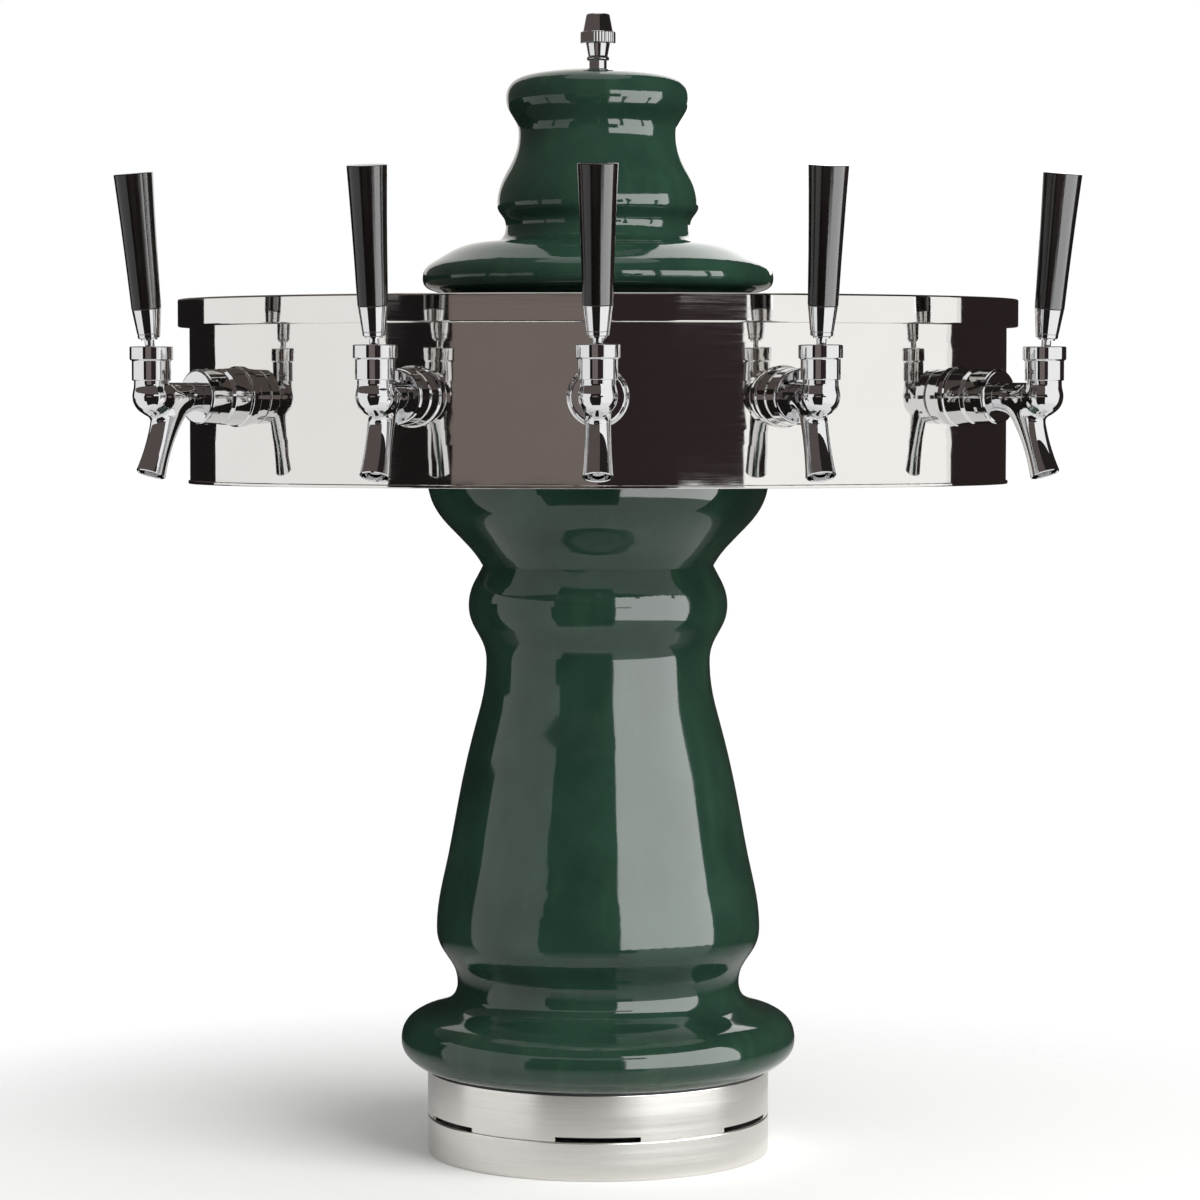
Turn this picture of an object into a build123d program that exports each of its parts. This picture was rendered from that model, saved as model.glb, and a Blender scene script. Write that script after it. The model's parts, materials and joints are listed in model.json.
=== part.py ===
from build123d import *
import math
import os

# A counter-top beer tower. A turned ceramic column stands on a two-part steel base ring and
# carries an oval steel head with a row of taps across its front. A ceramic cap and a finial
# close the top. Millimetres, +Z up. The origin is the centre of the base on the counter, and
# the taps face -Y.

# ---- clearances
SLIP = 0.2              # radial gap of parts that slide together once
THREAD_GAP = 0.1        # radial gap drawn between a nut and its thread
RUN_GAP = 0.05          # radial gap of the valve's guide land in its bore
OVER = 1.0              # how far a cutter runs past the face it opens

# ---- base
BASE_R = 149.0          # outside of both base rings
RING_WALL = 3.0
LOWER_RING_H = 33.0
UPPER_RING_H = 39.5
RING_FLANGE = 16.0      # how far the rings' top flanges reach inward
RING_EDGE = 0.8         # chamfer on both sides of the seam
VENT_COUNT = 6
VENT_ARC = 28.0         # degrees taken up by each vent slot
VENT_H = 4.0
BASE_PLATE_T = 8.0
LINE_BORE_R = 38.0      # hole for the beverage lines
BASE_BOLT_PCD = 220.0
BASE_BOLT_COUNT = 4
BASE_BOLT_R = 4.5
GASKET_T = 1.5

# ---- core tube inside the column
CORE_R = 45.0
CORE_WALL = 3.0
SPIGOT_H = 12.0
HEAD_PLATE_R = 120.0
HEAD_PLATE_T = 6.0

# ---- ceramic column: radii, heights above its foot and drops below its top
COLUMN_H = 507.5
COLUMN_WALL = 9.0
FOOT_LIP_R = 163.0
FOOT_LIP_Z = 7.0
FOOT_LIP_RISE = 0.2     # slope of the underside where it leaves the base ring
FOOT_R = 172.0
FOOT_Z = 24.0
FOOT_TOP_IN = 16.0      # top of the foot in from its widest line
FOOT_TOP_Z = 47.0
COVE_R = 123.0
COVE_Z = 73.5
BELLY_R = 141.0
BELLY_Z = 121.0
HIP_R = 132.0           # a quarter of the way from the belly to the neck
WAIST_R = 121.0         # half way
CHEST_R = 107.5         # three quarters of the way
NECK_R = 97.4
NECK_DROP = 152.5
TORUS_R = 112.7
TORUS_DROP = 104.5
GROOVE_R = 100.5
GROOVE_DROP = 70.0
GROOVE_IN = 0.45        # how steeply the surface enters and leaves the groove, across per up
GROOVE_OUT = 0.55
FLARE_R = 124.5
FLARE_DROP = 41.0
BELL_R = 148.0
BELL_OUT = 0.12         # spread of the bell at its rim, across per up

# ---- oval head
HEAD_A = 354.0          # half width of the wall
HEAD_B = 225.0          # half depth of the wall
HEAD_WALL = 2.0
FLOOR_T = 3.0
FLOOR_RIM = 1.5         # how far the floor stands out past the wall
FLOOR_EDGE = 0.8
SHELL_H = 154.0
LID_OUT = 10.0          # how far the lid stands out past the wall
LID_H = 24.0
LID_T = 2.0
LID_EDGE = 1.6
SHANK_H = 72.0          # shank axis above the head's floor plate

# ---- ceramic cap: radii, heights above its underside and drops below its crown
CAP_GASKET_T = 2.0
CAP_H = 194.0
CAP_WALL = 8.0
CAP_FOOT_R = 131.0
BRIM_R = 152.0
BRIM_Z = 16.0
BRIM_RISE = 1.0         # slope of the brim's underside
BRIM_TOP_R = 141.0
BRIM_TOP_Z = 31.5
CONE_R = 103.0
CONE_Z = 47.0
BRIM_TILT = 60.0        # degrees that the surface faces up at the top of the brim and on the cone
CONE_TILT = 69.0
CAP_COVE_R = 80.0
CAP_COVE_Z = 62.0
SHOULDER_R = 87.4
SHOULDER_Z = 80.0
CAP_NECK_R = 68.7
CAP_NECK_DROP = 53.0
ROLL_R = 79.6
ROLL_DROP = 22.5
CROWN_R = 45.0
CROWN_RISE = 0.15       # slope of the crown at its edge

# ---- tie rod and finial
ROD_R = 4.0
ROD_TAIL = 18.0         # rod below the head plate
NUT_AF = 13.0
NUT_T = 6.5
WASHER_R = 11.0
WASHER_T = 2.5
FINIAL_BORE = 18.0
ROD_END_GAP = 1.0
STEM_R = 7.6
STEM_H = 7.5
BEAD_R = 9.8
BEAD_H = 4.0
VASE_FOOT_R = 8.4
VASE_TOP_R = 10.4
VASE_H = 11.0
BAND_R = 15.2
BAND_H = 10.0
SPIRE_FOOT_R = 13.0
SPIRE_TOP_R = 10.0
SPIRE_H = 15.5
FINIAL_EDGE = 1.0

# ---- taps, distances from the wall along the shank and heights from the shank axis
TAP_INNER_ANGLE = 25.2  # degrees round the oval from its front
TAP_OUTER_ANGLE = 58.4
SHANK_R = 11.0
SHANK_TAIL = 50.0       # shank inside the head
LINE_HOLE_R = 4.0
SHANK_HEAD_R = 14.4
SHANK_HEAD_L = 17.5
POCKET_FLOOR = 2.0      # shank metal behind the valve pocket
SHANK_NUT_AF = 32.0
SHANK_NUT_T = 10.0
FLANGE_R = 25.5
FLANGE_L = 23.0
FLANGE_RIM = 3.0
FLANGE_EDGE = 1.0
FLANGE_NOSE_R = 23.2
FLANGE_NOSE = 3.0
FLANGE_NOSE_IN = 1.5    # how far the flange narrows over its nose
FLANGE_STEP = 3.0       # depth of the recess that takes the shank's head
FLANGE_SINK = 3.0       # flange stock behind the wall's tangent plane, cut to the wall
SEAM = 0.4              # gap between the flange and the coupling nut
COUPLING_R = 23.0
COUPLING_L = 21.5
COUPLING_EDGE = 1.6
COUPLING_LIP = 3.4
SPANNER_SLOTS = 6
SPANNER_SLOT_W = 6.0
SPANNER_SLOT_D = 1.6
SPANNER_SLOT_L = 11.0
COLLAR_R = 14.2         # collar on the tap body that the coupling nut grips
COLLAR_GAP = 0.3
BODY_NECK_R = 11.6
BODY_NECK_L = 21.0      # straight neck in front of the nut
SWELL_R = 12.6          # body radius where the neck meets the ball
BALL_R = 15.6
TAP_REACH = 91.0        # lever axis from the wall
VALVE_BORE_R = 9.5
BORE_PAST = 8.0         # valve bore past the lever axis
SEAT_IN = 9.0           # valve seat from the body's tail face
SEAT_T = 2.0
SEAT_R = 6.2
CHAMBER_R = 12.8
CHAMBER_WALL = 1.5
CHAMBER_TOP = 24.0
CHAMBER_FLOOR = 3.0
SPOUT_BACK = 22.0       # spout root behind the lever axis
SPOUT_LEAN = 20.0       # degrees
SPOUT_DROP = 64.0
SPOUT_ROOT_R = 11.2     # half width of the root across the shank
SPOUT_ROOT_REACH = 20.0 # half width of the root along the shank
SPOUT_WAIST_R = 10.6
SPOUT_WAIST_REACH = 11.6
SPOUT_WAIST_L = 34.0
SPOUT_MOUTH_R = 12.4
SPOUT_BORE_R = 7.4
MOUTH_BORE_R = 10.4
MOUTH_BORE_L = 12.0
MOUTH_EDGE = 0.8

# ---- bonnet and lever
BONNET_R = 16.0
BONNET_BOTTOM = 13.0
BONNET_TOP = 41.0
BONNET_RIM_R = 17.8
BONNET_RIM = 10.5       # height of the wider rim at its top
BONNET_STEP = 1.2       # slope under the rim
BONNET_EDGE = 0.9
BONNET_MOUTH_R = 11.6
PIVOT_H = 30.0          # lever pivot above the shank axis
LEVER_LEAN = 6.5        # degrees from upright with the tap shut
PIVOT_BALL_R = 9.5
BALL_GAP = 0.4
LIP_R = 8.3
LIP_H = 5.0             # retaining lip above the pivot
SOCKET_H = 2.0          # straight part of the ball's socket above the pivot
LEVER_NECK_R = 4.0
LEVER_SHOULDER_R = 7.0
LEVER_SHOULDER_T = 1.4
LEVER_TAIL_R = 1.9
LEVER_TIP_R = 3.2
STUD_R = 4.75
STUD_IN_HANDLE = 22.0
FERRULE_START = 18.0    # above the pivot, along the lever
FERRULE_L = 24.0
FERRULE_FOOT_R = 9.0
FERRULE_TOP_R = 12.0
FERRULE_EDGE = 0.8
HANDLE_L = 111.0
HANDLE_FOOT_R = 12.2
HANDLE_TOP_R = 16.2
HANDLE_EDGE = 0.9

# ---- valve shaft
DISC_R = 8.8
DISC_T = 3.2
SEAT_GAP = 0.3
SHAFT_R = 3.0
LAND_PAST = 13.0        # guide land past the valve seat
LAND_T = 6.0
FLUTES = 3
FLUTE_R = 3.4
YOKE_R = 7.0
YOKE_L = 13.0
YOKE_TOP = 4.5
YOKE_GAP = 0.5

# ---- beverage lines
LINE_R = 5.0
LINE_RING_R = 27.0      # circle that the lines stand on inside the core tube
LINE_RUN = 55.0         # straight run behind each shank
LINE_BEND_R = 40.0
LINE_END_GAP = 4.0      # cut ends above the base plate's spigot
STRAIGHT = 1.0          # degrees of turn under which a line has no elbow

# ---- levels and places that follow
BASE_H = LOWER_RING_H + UPPER_RING_H
COLUMN_Z = BASE_H + GASKET_T
FLOOR_Z = COLUMN_Z + COLUMN_H + GASKET_T
SHELL_Z = FLOOR_Z + FLOOR_T
LID_TOP_Z = SHELL_Z + SHELL_H + LID_T
CAP_Z = LID_TOP_Z + CAP_GASKET_T
CAP_TOP_Z = CAP_Z + CAP_H
FINIAL_Z = CAP_TOP_Z + WASHER_T
SHANK_Z = SHELL_Z + SHANK_H
HEAD_SEAT_S = FLANGE_L - FLANGE_STEP
SHANK_END_S = HEAD_SEAT_S + SHANK_HEAD_L
COUPLING_S = FLANGE_L + SEAM
COUPLING_END_S = COUPLING_S + COUPLING_L
LIP_S = COUPLING_END_S - COUPLING_LIP
TAIL_S = SHANK_END_S + COLLAR_GAP
SEAT_S = TAIL_S + SEAT_IN
LAND_S = SEAT_S + SEAT_T + LAND_PAST
NECK_Z = COLUMN_H - NECK_DROP
FLANK_RADII = (HIP_R, WAIST_R, CHEST_R)
FLANK_STEP = (NECK_Z - BELLY_Z) / (len(FLANK_RADII) + 1)
YOKE_S = TAP_REACH - PIVOT_H * math.tan(math.radians(LEVER_LEAN))
LEVER_ARM = PIVOT_H / math.cos(math.radians(LEVER_LEAN))
HANDLE_START = FERRULE_START + FERRULE_L
SPOUT_LENGTH = SPOUT_DROP / math.cos(math.radians(SPOUT_LEAN))
LINE_END_Z = BASE_PLATE_T + SPIGOT_H + LINE_END_GAP
STUD_HOLE_R = STUD_R + THREAD_GAP
TAP_NAMES = ("tap_1", "tap_2", "tap_3", "tap_4", "tap_5")
TAP_ANGLES = (-TAP_OUTER_ANGLE, -TAP_INNER_ANGLE, 0.0, TAP_INNER_ANGLE, TAP_OUTER_ANGLE)
BOTTOM = (Align.CENTER, Align.CENTER, Align.MIN)


# ---- helpers
def post(radius, height, base=0.0):
    return Pos(0, 0, base) * Cylinder(radius, height, align=BOTTOM)


def ring(outer, inner, height, base=0.0):
    return post(outer, height, base) - post(inner, height, base)


def turned(profile):
    """Solid of revolution about Z from a closed profile drawn as (radius, height)."""
    return revolve(Plane.XZ * make_face(profile.edges()), Axis.Z)


def turned_points(*points):
    return turned(Polyline(*points, close=True))


def along_shank(profile):
    """Solid of revolution about the shank from a closed profile drawn as (radius, -distance)."""
    return revolve(make_face(profile.edges()), Axis.Y)


def along_shank_points(*points):
    """The same from points given as (distance from the wall, radius)."""
    return along_shank(Polyline(*[(radius, -reach) for reach, radius in points], close=True))


def oval(grow, height, base):
    """Oval prism: the head's wall outline grown by an amount."""
    return Pos(0, 0, base) * extrude(Ellipse(HEAD_A + grow, HEAD_B + grow), height)


def hexagon_nut(across_flats, bore, thickness):
    corner_r = across_flats / 2 / math.cos(math.pi / 6)
    return extrude(RegularPolygon(corner_r, 6), thickness) - post(bore, thickness)


def tap_place(angle):
    """Where a tap's shank axis leaves the wall, turned so that the tap's -Y points outward."""
    turn = math.radians(angle)
    x = HEAD_A * math.sin(turn)
    y = -HEAD_B * math.cos(turn)
    yaw = math.degrees(math.atan2(x / HEAD_A**2, -y / HEAD_B**2))
    return Location((x, y, SHANK_Z), (0, 0, yaw))


def line_place(index):
    """Centre of one beverage line on its circle in the core tube, in tap order from the left."""
    turn = math.tau / len(TAP_ANGLES) * (index - len(TAP_ANGLES) // 2)
    return LINE_RING_R * math.sin(turn), -LINE_RING_R * math.cos(turn)


# ---- base
def make_base_plate():
    plate = ring(BASE_R - RING_WALL, LINE_BORE_R, BASE_PLATE_T)
    spigot = ring(CORE_R - CORE_WALL - SLIP, LINE_BORE_R, SPIGOT_H, BASE_PLATE_T)
    bolts = PolarLocations(BASE_BOLT_PCD / 2, BASE_BOLT_COUNT, start_angle=180 / BASE_BOLT_COUNT)
    return plate + spigot - [place * post(BASE_BOLT_R, BASE_PLATE_T) for place in bolts]


def make_lower_ring():
    wall_r = BASE_R - RING_WALL
    flange_r = BASE_R - RING_FLANGE
    flange_z = LOWER_RING_H - RING_WALL
    return turned_points(
        (wall_r, 0), (BASE_R, 0), (BASE_R, LOWER_RING_H - RING_EDGE),
        (BASE_R - RING_EDGE, LOWER_RING_H), (flange_r, LOWER_RING_H),
        (flange_r, flange_z), (wall_r, flange_z))


def make_upper_ring():
    wall_r = BASE_R - RING_WALL
    flange_r = BASE_R - RING_FLANGE
    flange_z = BASE_H - RING_WALL
    skirt = turned_points(
        (wall_r, LOWER_RING_H), (BASE_R - RING_EDGE, LOWER_RING_H),
        (BASE_R, LOWER_RING_H + RING_EDGE), (BASE_R, BASE_H),
        (flange_r, BASE_H), (flange_r, flange_z), (wall_r, flange_z))
    half = math.radians(VENT_ARC / 2)
    far = (BASE_R + OVER) / math.cos(half)
    wedge = Polyline((0, 0), (far * math.sin(half), -far * math.cos(half)),
                     (-far * math.sin(half), -far * math.cos(half)), close=True)
    slot = Pos(0, 0, LOWER_RING_H) * extrude(make_face(wedge.edges()), VENT_H)
    return skirt - [Rot(0, 0, 360 / VENT_COUNT * i) * slot for i in range(VENT_COUNT)]


def make_foot_gasket():
    return ring(BASE_R - RING_EDGE, BASE_R - COLUMN_WALL, GASKET_T, BASE_H)


# ---- column
def column_profile(inset):
    """Closed profile of the column, drawn in by an inset."""
    def at(radius, height):
        return radius - inset, COLUMN_Z + height

    up = (0, 1)
    foot = at(BASE_R, 0)
    bead = at(FOOT_R, FOOT_Z)
    cove = at(COVE_R, COVE_Z)
    belly = at(BELLY_R, BELLY_Z)
    flank = [at(radius, BELLY_Z + FLANK_STEP * (i + 1)) for i, radius in enumerate(FLANK_RADII)]
    neck = at(NECK_R, NECK_Z)
    torus = at(TORUS_R, COLUMN_H - TORUS_DROP)
    groove = at(GROOVE_R, COLUMN_H - GROOVE_DROP)
    bell = at(BELL_R, COLUMN_H)
    return (
        Polyline(bell, (0, bell[1]), (0, foot[1]), foot)
        + Spline(foot, at(FOOT_LIP_R, FOOT_LIP_Z), bead, tangents=[(1, FOOT_LIP_RISE), up])
        + Spline(bead, at(FOOT_R - FOOT_TOP_IN, FOOT_TOP_Z), cove, tangents=[up, up])
        + Spline(cove, belly, tangents=[up, up])
        + Spline(belly, *flank, neck, tangents=[up, up])
        + Spline(neck, torus, tangents=[up, up])
        + Spline(torus, groove, tangents=[up, (-GROOVE_IN, 1)])
        + Spline(groove, at(FLARE_R, COLUMN_H - FLARE_DROP), bell,
                 tangents=[(GROOVE_OUT, 1), (BELL_OUT, 1)]))


def make_column():
    hollow = turned(column_profile(COLUMN_WALL))
    hollow += post(BASE_R - COLUMN_WALL, OVER, COLUMN_Z - OVER)
    hollow += post(BELL_R - COLUMN_WALL, OVER, COLUMN_Z + COLUMN_H)
    return turned(column_profile(0)) - hollow


def make_column_gasket():
    return ring(BELL_R - RING_EDGE, BELL_R - COLUMN_WALL, GASKET_T, FLOOR_Z - GASKET_T)


def make_core_tube():
    return ring(CORE_R, CORE_R - CORE_WALL, SHELL_Z - BASE_PLATE_T, BASE_PLATE_T)


# ---- oval head
def make_head_floor():
    floor = oval(FLOOR_RIM, FLOOR_T, FLOOR_Z)
    rims = floor.edges().group_by(Axis.Z)
    floor = fillet(rims[0] + rims[-1], FLOOR_EDGE)
    return floor - post(CORE_R + SLIP, FLOOR_T, FLOOR_Z)


def make_head_plate():
    plate = post(HEAD_PLATE_R, HEAD_PLATE_T, SHELL_Z) - post(ROD_R + SLIP, HEAD_PLATE_T, SHELL_Z)
    places = [line_place(i) for i in range(len(TAP_ANGLES))]
    return plate - [Pos(x, y, 0) * post(LINE_R + SLIP, HEAD_PLATE_T, SHELL_Z) for x, y in places]


def make_head_shell():
    shell = oval(0, SHELL_H, SHELL_Z) - oval(-HEAD_WALL, SHELL_H, SHELL_Z)
    hole = Rot(90, 0, 0) * Cylinder(SHANK_R + SLIP, 2 * SHANK_TAIL)
    return shell - [tap_place(angle) * hole for angle in TAP_ANGLES]


def make_head_lid():
    lid_z = LID_TOP_Z - LID_H
    lid = oval(LID_OUT, LID_H, lid_z)
    rims = lid.edges().group_by(Axis.Z)
    lid = fillet(rims[0] + rims[-1], LID_EDGE)
    lid -= oval(LID_OUT - LID_T, LID_H - 2 * LID_T, lid_z + LID_T)
    lid -= oval(SLIP, LID_T, lid_z)
    return lid - post(ROD_R + SLIP, LID_T, LID_TOP_Z - LID_T)


# ---- ceramic cap
def cap_profile(inset, crown_drop):
    """Closed profile of the cap, drawn in by an inset, and lowered at the crown and half as
    much at the roll.

    A tilt is how far the surface there faces up, in degrees from level."""
    def at(radius, height, tilt=0.0):
        turn = math.radians(tilt)
        return radius - inset * math.cos(turn), CAP_Z + height - inset * math.sin(turn)

    up = (0, 1)
    foot = at(CAP_FOOT_R, 0)
    brim = at(BRIM_R, BRIM_Z)
    cove = at(CAP_COVE_R, CAP_COVE_Z)
    shoulder = at(SHOULDER_R, SHOULDER_Z)
    neck = at(CAP_NECK_R, CAP_H - CAP_NECK_DROP)
    roll = at(ROLL_R, CAP_H - ROLL_DROP - crown_drop / 2)
    crown = at(CROWN_R, CAP_H - crown_drop)
    return (
        Polyline(crown, (0, crown[1]), (0, foot[1]), foot)
        + Spline(foot, brim, tangents=[(1, BRIM_RISE), up])
        + Spline(brim, at(BRIM_TOP_R, BRIM_TOP_Z, BRIM_TILT), at(CONE_R, CONE_Z, CONE_TILT), cove,
                 tangents=[up, up])
        + Spline(cove, shoulder, tangents=[up, up])
        + Spline(shoulder, neck, tangents=[up, up])
        + Spline(neck, roll, tangents=[up, up])
        + Spline(roll, crown, tangents=[up, (-1, CROWN_RISE)]))


def make_cap():
    hollow = turned(cap_profile(CAP_WALL, CAP_WALL)) + post(CAP_FOOT_R - CAP_WALL, OVER, CAP_Z - OVER)
    return turned(cap_profile(0, 0)) - hollow - post(ROD_R + SLIP, CAP_H, CAP_Z)


def make_cap_gasket():
    return ring(CAP_FOOT_R - RING_EDGE, CAP_FOOT_R - CAP_WALL, CAP_GASKET_T, LID_TOP_Z)


# ---- tie rod and finial
def make_tie_rod():
    start = SHELL_Z - ROD_TAIL
    return post(ROD_R, FINIAL_Z + FINIAL_BORE - ROD_END_GAP - start, start)


def make_rod_nuts():
    nut = hexagon_nut(NUT_AF, ROD_R + THREAD_GAP, NUT_T)
    return Pos(0, 0, SHELL_Z - NUT_T) * nut + Pos(0, 0, SHELL_Z + HEAD_PLATE_T) * nut


def make_finial_washer():
    return ring(WASHER_R, ROD_R + SLIP, WASHER_T, CAP_TOP_Z)


def make_finial():
    bead = FINIAL_Z + STEM_H
    vase = bead + BEAD_H
    band = vase + VASE_H
    spire = band + BAND_H
    top = spire + SPIRE_H
    bore_r = ROD_R + THREAD_GAP
    bore_z = FINIAL_Z + FINIAL_BORE
    return turned_points(
        (bore_r, FINIAL_Z), (STEM_R, FINIAL_Z), (STEM_R, bead), (BEAD_R - FINIAL_EDGE, bead),
        (BEAD_R, bead + FINIAL_EDGE), (BEAD_R, vase - FINIAL_EDGE), (BEAD_R - FINIAL_EDGE, vase),
        (VASE_FOOT_R, vase), (VASE_TOP_R, band), (BAND_R - FINIAL_EDGE, band),
        (BAND_R, band + FINIAL_EDGE), (BAND_R, spire - FINIAL_EDGE), (BAND_R - FINIAL_EDGE, spire),
        (SPIRE_FOOT_R, spire), (SPIRE_TOP_R, top - FINIAL_EDGE), (SPIRE_TOP_R - FINIAL_EDGE, top),
        (0, top), (0, bore_z), (bore_r, bore_z))


# ---- taps, drawn with the wall point at the origin and the shank pointing to -Y
def make_shank():
    pocket = HEAD_SEAT_S + POCKET_FLOOR
    return along_shank_points(
        (-SHANK_TAIL, LINE_HOLE_R), (-SHANK_TAIL, SHANK_R), (HEAD_SEAT_S, SHANK_R),
        (HEAD_SEAT_S, SHANK_HEAD_R), (SHANK_END_S, SHANK_HEAD_R), (SHANK_END_S, VALVE_BORE_R),
        (pocket, VALVE_BORE_R), (pocket, LINE_HOLE_R))


def make_shank_nut(place):
    """Nut on the shank inside the head, its face shaped to the wall."""
    depth = SHANK_NUT_T + HEAD_WALL
    nut = Pos(0, depth, 0) * Rot(90, 0, 0) * hexagon_nut(SHANK_NUT_AF, SHANK_R + THREAD_GAP, depth)
    return place * nut & oval(-HEAD_WALL, SHELL_H, SHELL_Z)


def make_flange(place):
    """Flange between the wall and the coupling nut, its back shaped to the wall."""
    bore_r = SHANK_R + SLIP
    recess_r = SHANK_HEAD_R + SLIP
    blank = along_shank_points(
        (-FLANGE_SINK, bore_r), (-FLANGE_SINK, FLANGE_R), (FLANGE_RIM, FLANGE_R),
        (FLANGE_RIM + FLANGE_EDGE, FLANGE_R - FLANGE_EDGE), (FLANGE_L - FLANGE_NOSE, FLANGE_NOSE_R),
        (FLANGE_L, FLANGE_NOSE_R - FLANGE_NOSE_IN), (FLANGE_L, recess_r),
        (HEAD_SEAT_S, recess_r), (HEAD_SEAT_S, bore_r))
    return place * blank - oval(0, SHELL_H, SHELL_Z)


def make_coupling_nut():
    thread_r = SHANK_HEAD_R + THREAD_GAP
    nut = along_shank_points(
        (COUPLING_S, thread_r), (COUPLING_S, COUPLING_R - COUPLING_EDGE),
        (COUPLING_S + COUPLING_EDGE, COUPLING_R), (COUPLING_END_S - COUPLING_EDGE, COUPLING_R),
        (COUPLING_END_S, COUPLING_R - COUPLING_EDGE), (COUPLING_END_S, BODY_NECK_R + THREAD_GAP),
        (LIP_S, BODY_NECK_R + THREAD_GAP), (LIP_S, thread_r))
    slot = Pos(0, -COUPLING_END_S, COUPLING_R) * Box(
        SPANNER_SLOT_W, 2 * SPANNER_SLOT_L, 2 * SPANNER_SLOT_D)
    return nut - [Rot(0, 360 / SPANNER_SLOTS * i, 0) * slot for i in range(SPANNER_SLOTS)]


def spout_lean(shape):
    return Pos(0, SPOUT_BACK - TAP_REACH, 0) * Rot(-SPOUT_LEAN, 0, 0) * shape


def make_spout():
    """Outside of the spout, from its long root on the shank axis to its round mouth."""
    sections = [
        Ellipse(SPOUT_ROOT_R, SPOUT_ROOT_REACH),
        Pos(0, 0, -SPOUT_WAIST_L) * Ellipse(SPOUT_WAIST_R, SPOUT_WAIST_REACH),
        Pos(0, 0, -SPOUT_LENGTH) * Ellipse(SPOUT_MOUTH_R, SPOUT_MOUTH_R),
    ]
    spout = loft(sections)
    return chamfer(spout.edges().sort_by(Axis.Z)[0], MOUTH_EDGE)


def make_spout_bore():
    step = MOUTH_BORE_R - SPOUT_BORE_R
    mouth = MOUTH_BORE_L - SPOUT_LENGTH
    end = -SPOUT_LENGTH - OVER
    return turned_points(
        (0, 0), (SPOUT_BORE_R, 0), (SPOUT_BORE_R, mouth + step), (MOUTH_BORE_R, mouth),
        (MOUTH_BORE_R, end), (0, end))


def make_tap_body():
    nose = TAP_REACH + BALL_R
    neck_end = COUPLING_END_S + BODY_NECK_L
    ball_s = TAP_REACH - math.sqrt(BALL_R**2 - SWELL_R**2)
    ball_slope = (TAP_REACH - ball_s) / SWELL_R
    collar_end = LIP_S - SLIP
    barrel = along_shank(
        Polyline((0, -nose), (0, -TAIL_S), (COLLAR_R, -TAIL_S), (COLLAR_R, -collar_end),
                 (BODY_NECK_R, -collar_end), (BODY_NECK_R, -neck_end))
        + Spline((BODY_NECK_R, -neck_end), (SWELL_R, -ball_s), tangents=[(0, -1), (ball_slope, -1)])
        + ThreePointArc((SWELL_R, -ball_s), (BALL_R, -TAP_REACH), (0, -nose)))
    neck = Pos(0, -TAP_REACH, 0) * post(CHAMBER_R + CHAMBER_WALL, CHAMBER_TOP)
    chamber = Pos(0, -TAP_REACH, 0) * post(CHAMBER_R, CHAMBER_TOP + CHAMBER_FLOOR, -CHAMBER_FLOOR)
    bore_end = TAP_REACH + BORE_PAST
    bore = along_shank_points(
        (TAIL_S, 0), (TAIL_S, VALVE_BORE_R), (SEAT_S, VALVE_BORE_R), (SEAT_S, SEAT_R),
        (SEAT_S + SEAT_T, SEAT_R), (SEAT_S + SEAT_T, VALVE_BORE_R), (bore_end, VALVE_BORE_R),
        (bore_end, 0))
    body = barrel + neck + spout_lean(make_spout())
    return body - bore - chamber - spout_lean(make_spout_bore())


def make_bonnet():
    thread_r = CHAMBER_R + CHAMBER_WALL + THREAD_GAP
    socket_r = PIVOT_BALL_R + BALL_GAP
    rim_z = BONNET_TOP - BONNET_RIM
    ledge_z = CHAMBER_TOP + SLIP
    ring_solid = turned_points(
        (thread_r, BONNET_BOTTOM), (BONNET_R - BONNET_EDGE, BONNET_BOTTOM),
        (BONNET_R, BONNET_BOTTOM + BONNET_EDGE), (BONNET_R, rim_z - BONNET_STEP),
        (BONNET_RIM_R, rim_z), (BONNET_RIM_R, BONNET_TOP - BONNET_EDGE),
        (BONNET_RIM_R - BONNET_EDGE, BONNET_TOP),
        (BONNET_MOUTH_R, BONNET_TOP), (LIP_R, PIVOT_H + LIP_H), (socket_r, PIVOT_H + SOCKET_H),
        (socket_r, ledge_z), (thread_r, ledge_z))
    return Pos(0, -TAP_REACH, 0) * ring_solid


def on_lever(shape):
    """Carries a shape drawn upright about the lever's pivot to its place on the shut tap."""
    return Pos(0, -TAP_REACH, PIVOT_H) * Rot(LEVER_LEAN, 0, 0) * shape


def make_lever():
    shoulder = FERRULE_START - LEVER_SHOULDER_T
    lever = Sphere(PIVOT_BALL_R) + Pos(0, 0, -LEVER_ARM) * Sphere(LEVER_TIP_R)
    lever += post(LEVER_TAIL_R, LEVER_ARM, -LEVER_ARM) + post(LEVER_NECK_R, shoulder)
    lever += post(LEVER_SHOULDER_R, LEVER_SHOULDER_T, shoulder)
    return on_lever(lever + post(STUD_R, FERRULE_L + STUD_IN_HANDLE, FERRULE_START))


def make_ferrule():
    return on_lever(turned_points(
        (STUD_HOLE_R, FERRULE_START), (FERRULE_FOOT_R - FERRULE_EDGE, FERRULE_START),
        (FERRULE_FOOT_R, FERRULE_START + FERRULE_EDGE), (FERRULE_TOP_R, HANDLE_START - FERRULE_EDGE),
        (FERRULE_TOP_R - FERRULE_EDGE, HANDLE_START), (STUD_HOLE_R, HANDLE_START)))


def make_handle():
    top = HANDLE_START + HANDLE_L
    bore_top = HANDLE_START + STUD_IN_HANDLE + SLIP
    return on_lever(turned_points(
        (STUD_HOLE_R, HANDLE_START), (HANDLE_FOOT_R - HANDLE_EDGE, HANDLE_START),
        (HANDLE_FOOT_R, HANDLE_START + HANDLE_EDGE), (HANDLE_TOP_R, top - HANDLE_EDGE),
        (HANDLE_TOP_R - HANDLE_EDGE, top), (0, top), (0, bore_top), (STUD_HOLE_R, bore_top)))


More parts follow.
